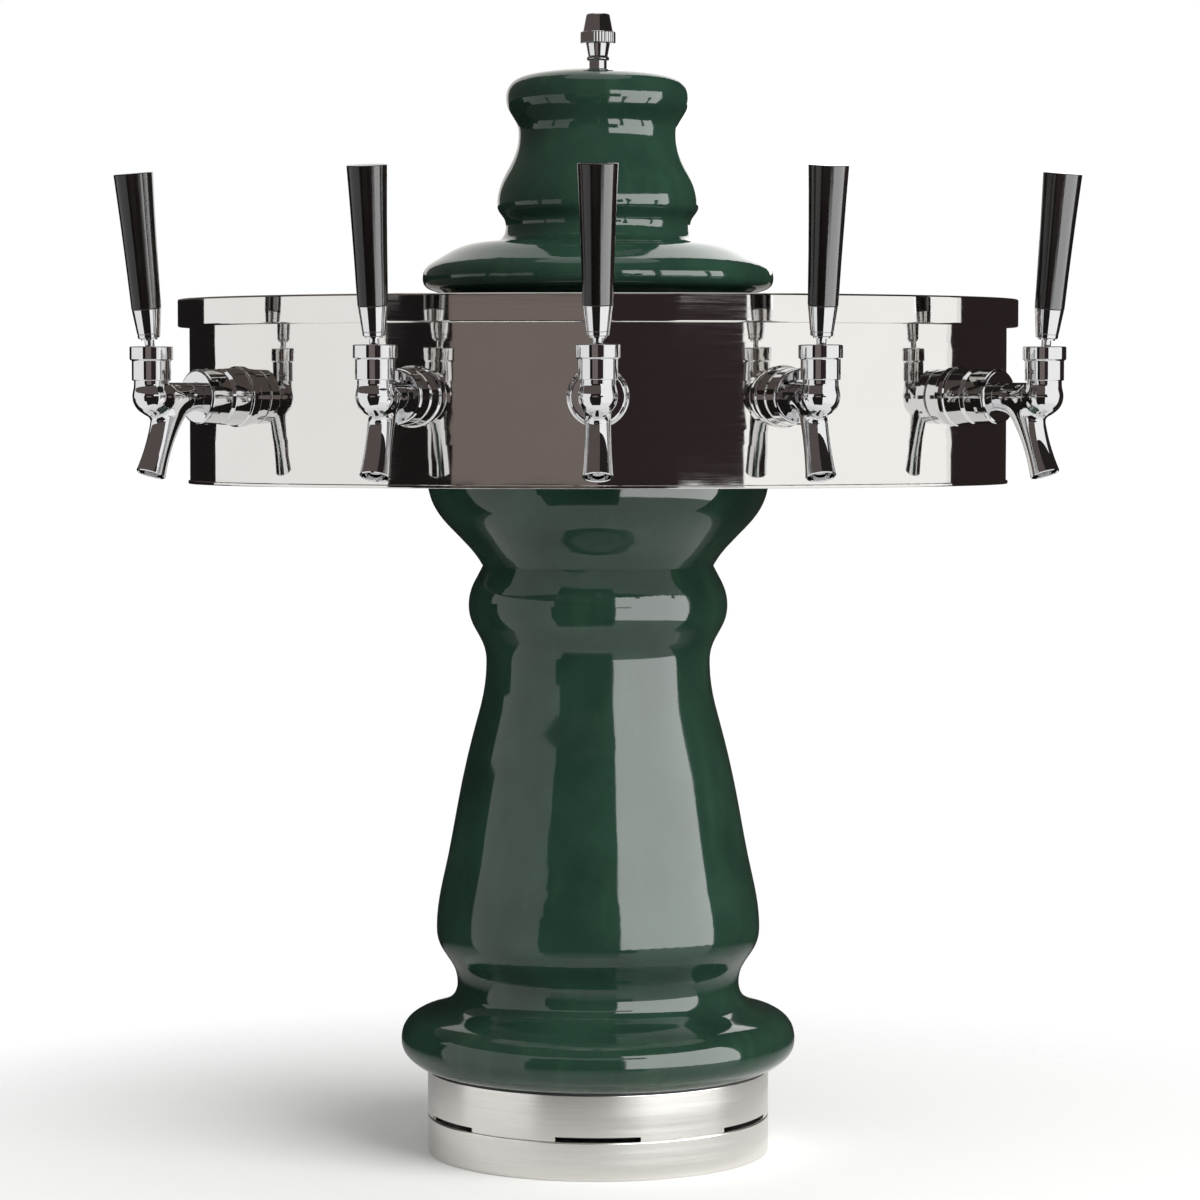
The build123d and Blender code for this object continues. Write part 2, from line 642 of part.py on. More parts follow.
def make_valve_shaft():
    disc_end = SEAT_S - SEAT_GAP
    yoke_start = YOKE_S - YOKE_L / 2
    land_r = VALVE_BORE_R - RUN_GAP
    shaft = along_shank_points(
        (disc_end - DISC_T, 0), (disc_end - DISC_T, DISC_R), (disc_end, DISC_R),
        (disc_end, SHAFT_R), (LAND_S, SHAFT_R), (LAND_S, land_r), (LAND_S + LAND_T, land_r),
        (LAND_S + LAND_T, SHAFT_R), (yoke_start, SHAFT_R), (yoke_start, YOKE_R),
        (yoke_start + YOKE_L, YOKE_R), (yoke_start + YOKE_L, 0))
    flute = Pos(0, -LAND_S - LAND_T / 2, land_r) * Rot(90, 0, 0) * Cylinder(FLUTE_R, LAND_T + 2 * OVER)
    shaft -= [Rot(0, 360 / FLUTES * i, 0) * flute for i in range(FLUTES)]
    slot = 2 * (LEVER_TIP_R + YOKE_GAP)
    across = 2 * (YOKE_R + OVER)
    shaft -= Pos(0, -YOKE_S, 0) * Box(slot, slot, across)
    return shaft - Pos(0, -YOKE_S, YOKE_TOP) * Box(across, YOKE_L + 2 * OVER, YOKE_R, align=BOTTOM)


def make_line(index, place):
    """Beverage line from a shank's tail, across the head and down the core tube."""
    x, y = line_place(index)
    tail = place * Pos(0, SHANK_TAIL, 0)
    elbow = place * Pos(0, SHANK_TAIL + LINE_RUN, 0)
    points = [tail.position, elbow.position, Vector(x, y, SHANK_Z), Vector(x, y, LINE_END_Z)]
    turn = (points[1] - points[0]).get_angle(points[2] - points[1])
    if turn < STRAIGHT:
        points.pop(1)
    path = FilletPolyline(*points, radius=LINE_BEND_R)
    section = Plane(points[0], z_dir=points[1] - points[0]) * Circle(LINE_R)
    return sweep(section, path=path)


# ---- the whole object
def main():
    places = [tap_place(angle) for angle in TAP_ANGLES]
    nodes = {
        "base_plate": make_base_plate(),
        "base_ring_lower": make_lower_ring(),
        "base_ring_upper": make_upper_ring(),
        "foot_gasket": make_foot_gasket(),
        "column": make_column(),
        "column_gasket": make_column_gasket(),
        "core_tube": make_core_tube(),
        "head_floor": make_head_floor(),
        "head_plate": make_head_plate(),
        "head_shell": make_head_shell(),
        "head_lid": make_head_lid(),
        "cap_gasket": make_cap_gasket(),
        "cap": make_cap(),
        "tie_rod": make_tie_rod(),
        "rod_nuts": make_rod_nuts(),
        "finial_washer": make_finial_washer(),
        "finial": make_finial(),
        "shanks": Part() + [place * make_shank() for place in places],
        "shank_nuts": Part() + [make_shank_nut(place) for place in places],
        "beverage_lines": Part() + [make_line(i, place) for i, place in enumerate(places)],
    }
    for name, place in zip(TAP_NAMES, places):
        nodes[name + "_flange"] = make_flange(place)
        nodes[name + "_coupling_nut"] = place * make_coupling_nut()
        nodes[name + "_body"] = place * make_tap_body()
        nodes[name + "_bonnet"] = place * make_bonnet()
        nodes[name + "_lever"] = place * make_lever()
        nodes[name + "_ferrule"] = place * make_ferrule()
        nodes[name + "_handle"] = place * make_handle()
        nodes[name + "_valve_shaft"] = place * make_valve_shaft()
    os.makedirs("parts", exist_ok=True)
    for name, shape in nodes.items():
        shape.label = name
        export_step(shape, f"parts/{name}.step")


main()
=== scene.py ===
"""Finished look of a five-tap beer tower, laid over its CAD frame.

Everything is in metres in the frame's own axes: +Z up, the taps towards -Y, the origin at
the centre of the base. Pieces that need rounded edges, knurling or blended forms are built
here and stand for their CAD nodes; the other nodes stay and get their finish.
"""
import itertools
import json
import math

import bpy
import numpy as np
from bpy.props import FloatProperty, FloatVectorProperty, IntProperty, PointerProperty
from mathutils import Matrix, Vector

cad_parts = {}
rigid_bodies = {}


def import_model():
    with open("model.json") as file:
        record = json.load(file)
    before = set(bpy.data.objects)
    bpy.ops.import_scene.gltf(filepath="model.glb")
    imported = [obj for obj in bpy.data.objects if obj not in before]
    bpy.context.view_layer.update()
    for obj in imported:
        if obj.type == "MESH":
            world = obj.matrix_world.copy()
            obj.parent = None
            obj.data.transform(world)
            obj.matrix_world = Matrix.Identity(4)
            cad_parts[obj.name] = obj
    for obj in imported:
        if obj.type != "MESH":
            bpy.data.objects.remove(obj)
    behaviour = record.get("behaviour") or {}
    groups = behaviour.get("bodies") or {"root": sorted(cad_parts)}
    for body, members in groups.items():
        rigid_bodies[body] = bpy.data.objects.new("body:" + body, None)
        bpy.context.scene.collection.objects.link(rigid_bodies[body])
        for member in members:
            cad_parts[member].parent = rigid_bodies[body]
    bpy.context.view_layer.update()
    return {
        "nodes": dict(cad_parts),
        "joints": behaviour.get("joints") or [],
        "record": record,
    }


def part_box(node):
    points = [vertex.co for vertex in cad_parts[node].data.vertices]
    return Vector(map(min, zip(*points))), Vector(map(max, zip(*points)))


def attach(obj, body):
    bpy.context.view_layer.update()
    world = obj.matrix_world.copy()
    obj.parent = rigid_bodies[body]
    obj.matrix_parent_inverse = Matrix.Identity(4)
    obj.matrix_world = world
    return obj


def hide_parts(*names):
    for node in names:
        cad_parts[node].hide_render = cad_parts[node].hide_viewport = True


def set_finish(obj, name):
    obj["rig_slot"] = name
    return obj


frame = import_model()

bl_info = {
    "name": "Five-Tap Beer Tower",
    "version": (1, 0, 0),
    "blender": (4, 5, 0),
    "location": "View3D > Sidebar > Beer Tower",
    "description": "Builds the finished look of a beer tower over its CAD frame",
    "category": "Object",
}

MM = 0.001
SMOOTH_LIMIT = math.radians(32)     # edges sharper than this stay crisp
CLEARANCE = 0.1 * MM                # left between two roundings or two turned faces
AXIS_LIMIT = MM / 1000              # a smaller radius counts as a point on the axis
ARC_STEPS = 6                       # faces along a rounded corner
ROUND_STEPS = 96                    # faces round a small turned piece
FINE_STEPS = 128                    # faces round the flange and the bonnet
NUT_STEPS = 144                     # faces round the nut, a multiple of its spanner slots
RING_STEPS = 360                    # faces round a base ring
TOOTH_STEPS = 8                     # faces along each knurl tooth
PANEL_STEPS = 12                    # faces along a vent or a card
TAP_COUNT = 5
SLOTS = {part["node"]: part["material_slot"] for part in frame["record"]["subparts"]}
BODY_OF = {node: body
           for body, nodes in frame["record"]["behaviour"]["bodies"].items() for node in nodes}


# ---- sizes read from the frame
def low(node):
    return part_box(node)[0]


def high(node):
    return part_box(node)[1]


BASE_R = high("base_ring_lower").x
SEAM_Z = high("base_ring_lower").z
BASE_TOP = high("base_ring_upper").z
TOWER_TOP = high("finial").z
WALL_Y = low("head_shell").y        # front of the head's wall, where the middle tap stands
NUT_START = WALL_Y - high("tap_3_coupling_nut").y
NUT_END = WALL_Y - low("tap_3_coupling_nut").y
NUT_R = high("tap_3_coupling_nut").x
FLANGE_R = high("tap_3_flange").x
FLANGE_L = WALL_Y - low("tap_3_flange").y
BONNET_R = high("tap_3_bonnet").x
FINIAL_FOOT = low("finial").z
FINIAL_R = high("finial").x


def tap_joint(number):
    """Pivot of a tap's lever and the tap's turn about Z."""
    joint = next(j for j in frame["joints"] if j["name"] == f"tap_{number}_pull")
    axis = joint["axis"]
    return Vector(joint["pos_m"]), math.atan2(axis[1], axis[0])


TAP_REACH = WALL_Y - tap_joint(3)[0].y
BONNET_TOP = high("tap_3_bonnet").z
BONNET_FOOT = low("tap_3_bonnet").z
SHANK_Z = (low("tap_3_coupling_nut").z + high("tap_3_coupling_nut").z) / 2
PIVOT_H = tap_joint(3)[0].z - SHANK_Z


def tap_place(number):
    """Frame of a tap: origin where its shank leaves the wall, -Y outward along the shank."""
    pivot, turn = tap_joint(number)
    spot = Matrix.Translation(pivot) @ Matrix.Rotation(turn, 4, "Z")
    return spot @ Matrix.Translation((0, TAP_REACH, -PIVOT_H))


# ---- property helpers
def linear(colour):
    """Linear RGB of an sRGB hex colour such as "#28503C"."""
    parts = [int(colour[i:i + 2], 16) / 255 for i in (1, 3, 5)]
    return [c / 12.92 if c <= 0.04045 else ((c + 0.055) / 1.055) ** 2.4 for c in parts]


def length(name, description, millimetres):
    return FloatProperty(name=name, description=description, default=millimetres * MM,
                         min=0, precision=5, unit="LENGTH")


def amount(name, description, value, unit="NONE"):
    return FloatProperty(name=name, description=description, default=value, min=0, unit=unit)


def angle(name, description, degrees):
    return FloatProperty(name=name, description=description, default=math.radians(degrees),
                         subtype="ANGLE", unit="ROTATION")


def colour(name, description, value):
    return FloatVectorProperty(name=name, description=description, default=linear(value),
                               size=3, min=0, max=1, subtype="COLOR")


def count(name, description, value):
    return IntProperty(name=name, description=description, default=value, min=1)


class BaseSizes(bpy.types.PropertyGroup):
    """Turned steel base rings."""
    wall: length("Wall", "Thickness of the rings", 3)
    flange: length("Flange", "How far the top flanges reach inward", 16)
    shoulder: length("Shoulder", "Rounding of the lower ring at the seam", 1.6)
    edge: length("Edge", "Rounding of the other edges", 0.7)
    vents: count("Vents", "Number of vent slots at the seam", 6)
    vent_arc: angle("Vent arc", "Angle taken up by each vent", 28)
    vent_height: length("Vent height", "Height of each vent", 4)


class FinialSizes(bpy.types.PropertyGroup):
    """Turned and knurled finial. Heights add up from the cap's crown."""
    stem_r: length("Stem radius", "Radius of the stem", 7.6)
    stem_h: length("Stem height", "Height of the stem", 7.5)
    bead_r: length("Bead radius", "Radius of the bead over the stem", 9.8)
    bead_h: length("Bead height", "Height of the bead", 4)
    vase_foot_r: length("Vase foot radius", "Lower radius of the vase", 8.4)
    vase_top_r: length("Vase top radius", "Upper radius of the vase", 10.4)
    vase_h: length("Vase height", "Height of the vase", 11)
    band_h: length("Band height", "Height of the knurled band", 10)
    spire_foot_r: length("Spire foot radius", "Lower radius of the spire", 13)
    spire_top_r: length("Spire top radius", "Radius at the top", 10)
    edge: length("Edge", "Rounding of the edges", 0.9)
    bore_r: length("Bore radius", "Radius of the threaded bore", 4.1)
    bore_h: length("Bore depth", "Depth of the threaded bore", 18)
    teeth: count("Knurl teeth", "Teeth round the band", 36)
    tooth_depth: length("Tooth depth", "Depth of the knurling", 0.45)


class TapSizes(bpy.types.PropertyGroup):
    """Chrome tap. Distances run from the head's wall along the shank."""
    flange_sink: length("Flange sink", "How far the flange starts behind the wall's tangent plane", 1.6)
    flange_rim: length("Flange rim", "Thickness of the flange's wide rim", 3)
    flange_bore: length("Flange bore", "Radius of the flange's bore", 11.2)
    recess_r: length("Flange recess", "Radius of the recess for the shank's head", 14.6)
    recess_depth: length("Recess depth", "Depth of that recess", 3)
    nose_r: length("Flange nose radius", "Radius where the flange meets the nut", 23.2)
    nose: length("Flange nose", "Length of the rounded nose", 3)
    edge: length("Edge", "Rounding of the nut and flange edges", 1.3)
    nut_lip: length("Nut lip", "Thickness of the nut's front lip", 3.4)
    nut_thread_r: length("Nut thread radius", "Radius of the nut's thread", 14.5)
    slots: count("Spanner slots", "Number of spanner slots in the nut", 6)
    slot_width: length("Slot width", "Width of a spanner slot", 6)
    slot_depth: length("Slot depth", "Depth of a spanner slot", 1.6)
    slot_length: length("Slot length", "Length of a spanner slot", 11)
    slot_edge: length("Slot edge", "Rounding of the slots' edges", 0.25)
    neck_r: length("Neck radius", "Radius of the body between nut and ball", 11.6)
    ball_r: length("Ball radius", "Radius of the body's ball", 15.6)
    tail: length("Tail", "Distance of the body's tail face from the wall", 37.8)
    spout_back: length("Spout back", "Spout root behind the lever axis", 22)
    spout_lean: angle("Spout lean", "Lean of the spout from upright", 20)
    spout_drop: length("Spout drop", "Height of the shank axis above the mouth", 64)
    root_r: length("Root radius", "Half width of the spout's root across the shank", 11.2)
    root_reach: length("Root reach", "Half width of the spout's root along the shank", 20)
    waist: length("Waist distance", "Waist of the spout from its root", 34)
    waist_r: length("Waist radius", "Half width of the waist across the shank", 10.6)
    waist_reach: length("Waist reach", "Half width of the waist along the shank", 11.6)
    mouth_r: length("Mouth radius", "Outside radius of the spout's mouth", 12.4)
    mouth_bore: length("Mouth bore", "Radius of the mouth's bore", 10.4)
    mouth_depth: length("Mouth depth", "Depth of the mouth's bore", 12)
    mouth_edge: length("Mouth edge", "Slope between the mouth's bore and its face", 0.6)
    throat_r: length("Throat radius", "Radius of the spout's bore", 7.4)
    valve_r: length("Valve bore", "Radius of the valve bore", 9.5)
    chamber_r: length("Chamber radius", "Radius of the chamber under the bonnet", 12.8)
    chamber_wall: length("Chamber wall", "Wall of the chamber's neck", 1.5)
    chamber_top: length("Chamber top", "Top of the chamber's neck above the shank axis", 24)
    chamber_floor: length("Chamber floor", "Depth of the chamber under the shank axis", 3)
    fillet: length("Fillet", "Size of the blend between ball, neck and spout", 7)
    cell: length("Mesh size", "Size of the faces on the blended body", 0.9)


class BonnetSizes(bpy.types.PropertyGroup):
    """Round bonnet that holds the lever's ball."""
    body_r: length("Body radius", "Radius under the rim", 16)
    rim_h: length("Rim height", "Height of the knurled rim", 10.5)
    step: length("Step", "Slope under the rim", 1.2)
    edge: length("Edge", "Rounding of the edges", 0.9)
    mouth_r: length("Mouth radius", "Radius of the mouth on top", 11.6)
    lip_r: length("Lip radius", "Radius of the lip over the ball", 8.3)
    lip_h: length("Lip height", "Height of the lip above the pivot", 5)
    socket_r: length("Socket radius", "Radius of the ball's socket", 9.9)
    socket_h: length("Socket height", "Straight part of the socket above the pivot", 2)
    thread_r: length("Thread radius", "Radius of the bonnet's thread", 14.4)
    ledge: length("Ledge", "Height of the ledge over the chamber, above the shank axis", 24.2)


class LeverSizes(bpy.types.PropertyGroup):
    """Ferrule and handle, measured along the lever from its pivot."""
    lean: angle("Lean", "Lean of the lever with the tap shut", 6.5)
    start: length("Ferrule start", "Start of the ferrule above the pivot", 18)
    ferrule_l: length("Ferrule length", "Length of the ferrule", 24)
    ferrule_foot_r: length("Ferrule foot radius", "Lower radius of the ferrule", 9)
    ferrule_top_r: length("Ferrule top radius", "Upper radius of the ferrule", 12)
    collar_h: length("Collar height", "Height of the ferrule's bottom collar", 3.2)
    collar_in: length("Collar step", "Depth of the groove over the collar", 0.5)
    handle_l: length("Handle length", "Length of the handle", 111)
    handle_foot_r: length("Handle foot radius", "Lower radius of the handle", 12.2)
    handle_top_r: length("Handle top radius", "Upper radius of the handle", 16.2)
    waist_in: length("Handle hollow", "How far the handle's side curves in half way up", 0.35)
    stud_r: length("Stud hole radius", "Radius of the hole for the stud", 4.85)
    stud_hole: length("Stud hole depth", "Depth of the stud hole in the handle", 22.2)
    edge: length("Edge", "Rounding of the edges", 0.8)


class FinishColours(bpy.types.PropertyGroup):
    """Colours of the finishes."""
    glaze: colour("Glaze", "Green glaze at its usual thickness", "#2A4638")
    glaze_pool: colour("Pooled glaze", "Glaze where it ran thick", "#20382C")
    glaze_thin: colour("Thin glaze", "Glaze where it broke thin over a bead", "#385A45")
    glaze_fleck: colour("Glaze fleck", "Iron flecks under the glaze", "#1D2A22")
    polished: colour("Polished steel", "Mirror-polished stainless steel", "#E2E0DC")
    turned: colour("Turned steel", "Turned stainless steel", "#E2E0DC")
    # The dark-lines colour of turned steel is painted shade: the same steel drawn darker along the
    # turning lines.
    turned_groove_shade: colour("Turned steel, dark lines", "Bottom of the turning lines", "#D2CFCB")
    chrome: colour("Chrome", "Chrome plate", "#DCDCDD")
    zinc: colour("Zinc", "Zinc plate", "#A9ABAC")
    brass: colour("Brass", "Turned brass", "#C9A765")
    rubber: colour("Rubber", "Black rubber", "#1B1B1B")
    tube: colour("Beverage tube", "Milky tube", "#D8DAD2")
    handle: colour("Handle", "Black phenolic", "#120F0E")
    handle_bloom: colour("Handle bloom", "Warm bloom in the black", "#241D19")
    floor: colour("Floor", "Pale studio floor", "#F9F9F7")


class StudioSizes(bpy.types.PropertyGroup):
    """Lamp, cards and camera round the tower."""
    fill: amount("Fill", "Strength of the even light", 0.5)
    lamp: amount("Lamp", "Power of the soft lamp at the right", 60, unit="POWER")
    key: amount("Key", "Glow of the tall card at the right", 6.3)
    sky: amount("Sky", "Glow of the high card at the back", 3.2)
    glare: amount("Glare", "Glow of the lit cards for metal", 1.15)
    near: length("Near cards", "Distance of the near cards from the tower's axis", 1300)
    far: length("Far cards", "Distance of the far cards from the tower's axis", 4000)
    floor: length("Floor", "Radius at which the floor has faded out", 800)
    distance: length("Camera distance", "Distance of the camera from the tower's axis", 3350)
    height: length("Camera height", "Height of the camera", 655)
    offset: length("Camera offset", "Camera to the right of the tower's axis", 1.7)
    tilt: angle("Camera tilt", "How far the camera looks down", 2.97)
    lens: amount("Lens", "Focal length in millimetres", 115.5, unit="CAMERA")


GROUPS = {
    "tower_base": BaseSizes,
    "tower_finial": FinialSizes,
    "tower_tap": TapSizes,
    "tower_bonnet": BonnetSizes,
    "tower_lever": LeverSizes,
    "tower_colours": FinishColours,
    "tower_studio": StudioSizes,
}


# ---- outlines and meshes
def rounded(corners):
    """Outline through (radius, height) corners; a third number rounds that corner."""
    outline = []
    for i, (radius, height, *rounding) in enumerate(corners):
        here = complex(radius, height)
        if not rounding:
            outline.append((radius, height))
            continue
        before = complex(*corners[i - 1][:2]) - here
        after = complex(*corners[(i + 1) % len(corners)][:2]) - here
        before /= abs(before)
        after /= abs(after)
        bisector = (before + after) / abs(before + after)
        half = math.acos(max(-1, min(1, (before * bisector.conjugate()).real)))
        centre = here + bisector * rounding[0] / math.sin(half)
        start = here + before * rounding[0] / math.tan(half) - centre
        end = here + after * rounding[0] / math.tan(half) - centre
        sweep = math.atan2((end / start).imag, (end / start).real)
        for step in range(ARC_STEPS + 1):
            turn = sweep * step / ARC_STEPS
            point = centre + start * complex(math.cos(turn), math.sin(turn))
            outline.append((point.real, point.imag))
    return outline


def smoothed(mesh):
    mesh.shade_smooth()
    mesh.set_sharp_from_angle(angle=SMOOTH_LIMIT)
    return mesh


def mesh_from(name, verts, faces):
    mesh = bpy.data.meshes.new(name)
    mesh.from_pydata([tuple(v) for v in verts], [], faces)
    mesh.validate()
    return smoothed(mesh)


def turned(name, corners, steps=ROUND_STEPS, relief=None):
    """Closed mesh turned round Z from the corners of a closed outline, as rounded takes them.

    relief(turns, radius, height) gives the radii round one ring where it isn't round."""
    outline = rounded(corners)
    area = sum(r0 * z1 - r1 * z0 for (r0, z0), (r1, z1) in zip(outline, outline[1:] + outline[:1]))
    if area < 0:
        outline = outline[::-1]
    turns = np.arange(steps) * math.tau / steps
    verts, rings = [], []
    for radius, height in outline:
        first = len(verts)
        if radius < AXIS_LIMIT:
            verts.append((0, 0, height))
            rings.append([first] * steps)
            continue
        radii = relief(turns, radius, height) if relief else np.full(steps, radius)
        verts.extend(zip(radii * np.sin(turns), -radii * np.cos(turns), np.full(steps, height)))
        rings.append(list(range(first, first + steps)))
    faces = []
    for lower, upper in zip(rings, rings[1:] + rings[:1]):
        for i in range(steps):
            j = (i + 1) % steps
            face = dict.fromkeys((lower[i], lower[j], upper[j], upper[i]))
            if len(face) > 2:
                faces.append(tuple(face))
    return mesh_from(name, verts, faces)


def along_shank(mesh):
    """Lays a mesh turned round Z along the shank, so that its heights run to -Y."""
    mesh.transform(Matrix.Rotation(math.radians(90), 4, "X"))
    return mesh


def box_mesh(name, size, centre):
    signs = list(itertools.product((-0.5, 0.5), repeat=3))
    verts = [[c + s * d for c, s, d in zip(centre, sign, size)] for sign in signs]
    faces = [(0, 1, 3, 2), (4, 6, 7, 5), (0, 4, 5, 1), (2, 3, 7, 6), (0, 2, 6, 4), (1, 5, 7, 3)]
    return mesh_from(name, verts, faces)


def show(name, data):
    """New object in the scene."""
    obj = bpy.data.objects.new(name, data)
    bpy.context.scene.collection.objects.link(obj)
    return obj


def cut(mesh, cutters):
    """Mesh with the cutters' meshes taken away."""
    work = show("work", mesh)
    tools = [show("cutter", cutter) for cutter in cutters]
    for tool in tools:
        step = work.modifiers.new("cut", "BOOLEAN")
        step.operation = "DIFFERENCE"
        step.solver = "EXACT"
        step.object = tool
    depsgraph = bpy.context.evaluated_depsgraph_get()
    result = bpy.data.meshes.new_from_object(work.evaluated_get(depsgraph))
    result.name = mesh.name
    for obj in (work, *tools):
        bpy.data.objects.remove(obj)
    return smoothed(result)


def stand_for(node, mesh, place=Matrix(), soften=0.0):
    """Shows a mesh in place of a CAD node. soften rounds its cut edges by that much."""
    piece = show(f"{node}_finished", mesh)
    piece.matrix_world = place
    if soften:
        bevel = piece.modifiers.new("soften", "BEVEL")
        bevel.width = soften
        bevel.segments = 3
        bevel.limit_method = "ANGLE"
        bevel.angle_limit = SMOOTH_LIMIT
    normals = piece.modifiers.new("even shading", "WEIGHTED_NORMAL")
    normals.keep_sharp = True
    normals.weight = 80
    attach(piece, BODY_OF[node])
    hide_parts(node)
    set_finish(piece, SLOTS[node])


def on_each_tap(part, mesh, lean=Matrix(), soften=0.0):
    """Shows a mesh in place of that part of every tap, turned by lean in the tap's frame."""
    for number in range(1, TAP_COUNT + 1):
        stand_for(f"tap_{number}_{part}", mesh, tap_place(number) @ lean, soften)


# ---- blended tap body
def soft_join(a, b, blend):
    """Union of two distance fields with a fillet of about the blend's size."""
    mix = np.clip(0.5 + 0.5 * (b - a) / blend, 0, 1)
    return b * (1 - mix) + a * mix - blend * mix * (1 - mix)


def through(stations):
    """Parabola through three (distance, size) stations."""
    return np.poly1d(np.polyfit(*zip(*stations), 2))


def spout_length(tap):
    return tap.spout_drop / math.cos(tap.spout_lean)


def body_field(tap):
    """Distance field of the tap body's outside, in the tap's frame."""
    spout_l = spout_length(tap)
    across = through([(0, tap.root_r), (tap.waist, tap.waist_r), (spout_l, tap.mouth_r)])
    reach = through([(0, tap.root_reach), (tap.waist, tap.waist_reach), (spout_l, tap.mouth_r)])
    past_mouth = 6 * MM

    def field(points):
        x, y, z = points.T
        s = -y
        neck = np.hypot(x, z) - tap.neck_r
        neck = np.maximum(neck, np.maximum(s - TAP_REACH, tap.tail - s))
        ball = np.sqrt(x**2 + (s - TAP_REACH)**2 + z**2) - tap.ball_r
        post = np.hypot(x, s - TAP_REACH) - (tap.chamber_r + tap.chamber_wall)
        post = np.maximum(post, np.maximum(z - tap.chamber_top, -z))
        out = s - (TAP_REACH - tap.spout_back)
        down = out * math.sin(tap.spout_lean) - z * math.cos(tap.spout_lean)
        side = out * math.cos(tap.spout_lean) + z * math.sin(tap.spout_lean)
        at = np.clip(down, 0, spout_l + past_mouth)
        wide, deep = across(at), reach(at)
        spout = (np.sqrt((x / wide)**2 + (side / deep)**2) - 1) * np.minimum(wide, deep)
        spout = np.maximum(spout, np.maximum(-down, down - spout_l - past_mouth))
        body = soft_join(ball, neck, tap.fillet)
        body = soft_join(body, spout, tap.fillet)
        return soft_join(body, post, tap.fillet / 4)

    return field


def slope(field, points, step):
    """Gradient of a field at the points."""
    return np.stack([(field(points + d) - field(points - d)) / (2 * step)
                     for d in np.eye(3) * step], axis=1)


def skin(name, field, lowest, highest, cell):
    """Mesh of even quads over a field's zero surface."""
    rounds, pulls = 8, 2        # rounds of evening out, each with pulls back to the surface
    least_slope = 0.05          # keeps a pull short where the field hardly changes
    axes = [np.arange(a - cell, b + 2 * cell, cell) for a, b in zip(lowest, highest)]
    grid = np.stack(np.meshgrid(*axes, indexing="ij"), axis=-1)
    inside = field(grid.reshape(-1, 3)).reshape(grid.shape[:3]) < 0
    cells = tuple(n - 1 for n in inside.shape)
    filled = np.zeros(cells, int)
    for i, j, k in itertools.product((0, 1), repeat=3):
        filled += inside[i:i + cells[0], j:j + cells[1], k:k + cells[2]]
    crossed = (filled > 0) & (filled < 8)
    number = np.full(cells, -1)
    number[crossed] = np.arange(crossed.sum())
    points = grid[:-1, :-1, :-1][crossed] + cell / 2
    quads = []
    for axis in range(3):
        u, v = (axis + 1) % 3, (axis + 2) % 3
        before = np.take(inside, range(inside.shape[axis] - 1), axis)
        after = np.take(inside, range(1, inside.shape[axis]), axis)
        for crossing, turn in ((before & ~after, 1), (after & ~before, -1)):
            spots = np.argwhere(crossing)
            ring = []
            for du, dv in ((0, 0), (1, 0), (1, 1), (0, 1)):
                shifted = spots.copy()
                shifted[:, u] -= du
                shifted[:, v] -= dv
                ring.append(number[tuple(shifted.T)])
            quads.append(np.stack(ring, axis=1)[:, ::turn])
    quads = np.concatenate(quads)
    links = np.concatenate([quads[:, [i, (i + 1) % 4]] for i in range(4)])
    link_count = np.bincount(links.ravel(), minlength=len(points))
    for _ in range(rounds):
        total = np.zeros_like(points)
        np.add.at(total, links[:, 0], points[links[:, 1]])
        np.add.at(total, links[:, 1], points[links[:, 0]])
        points = (points + total / link_count[:, None]) / 2
        for _ in range(pulls):
            gradient = slope(field, points, cell / 8)
            size = np.maximum((gradient**2).sum(axis=1), least_slope)
            points = points - gradient * (field(points) / size)[:, None]
    return mesh_from(name, points, quads.tolist())


def body_mesh(tap):
    """Tap body: ball, neck and spout in one casting, with its bores."""
    spout_l = spout_length(tap)
    reach = TAP_REACH + tap.ball_r
    lowest = (-tap.ball_r - tap.fillet, -reach - tap.fillet, -tap.spout_drop - tap.ball_r)
    highest = (tap.ball_r + tap.fillet, -tap.tail, tap.chamber_top)
    outside = skin("tap_body", body_field(tap), lowest, highest, tap.cell)
    edge = tap.mouth_edge
    rim = tap.mouth_bore + 2 * edge
    clear = 8 * MM
    step = tap.mouth_bore - tap.throat_r
    spout_bore = turned("spout_bore", [
        (0, 0), (tap.throat_r, 0), (tap.throat_r, tap.mouth_depth - spout_l + step),
        (tap.mouth_bore, tap.mouth_depth - spout_l), (tap.mouth_bore, edge - spout_l),
        (tap.mouth_bore + edge, -spout_l), (rim, -spout_l), (rim + clear, clear - spout_l),
        (rim + 2 * clear, clear - spout_l), (rim + 2 * clear, -clear - spout_l),
        (0, -clear - spout_l)])
    spout_bore.transform(Matrix.Translation((0, tap.spout_back - TAP_REACH, 0))
                         @ Matrix.Rotation(-tap.spout_lean, 4, "X"))
    chamber = turned("chamber", [
        (0, -tap.chamber_floor), (tap.chamber_r, -tap.chamber_floor),
        (tap.chamber_r, tap.chamber_top + clear), (0, tap.chamber_top + clear)])
    chamber.transform(Matrix.Translation((0, -TAP_REACH, 0)))
    valve_bore = along_shank(turned("valve_bore", [
        (0, 0), (tap.valve_r, 0), (tap.valve_r, TAP_REACH + clear), (0, TAP_REACH + clear)]))
    return cut(outside, [spout_bore, chamber, valve_bore])


# ---- turned meshes
def ring_mesh(name, base, bottom, top, foot_edge, top_edge):
    """One base ring: an outer wall with a flange inward at its top."""
    inner = BASE_R - base.wall
    reach = BASE_R - base.flange
    return turned(name, [
        (inner, bottom), (BASE_R, bottom, foot_edge), (BASE_R, top, top_edge), (reach, top),
        (reach, top - base.wall), (inner, top - base.wall)], RING_STEPS)


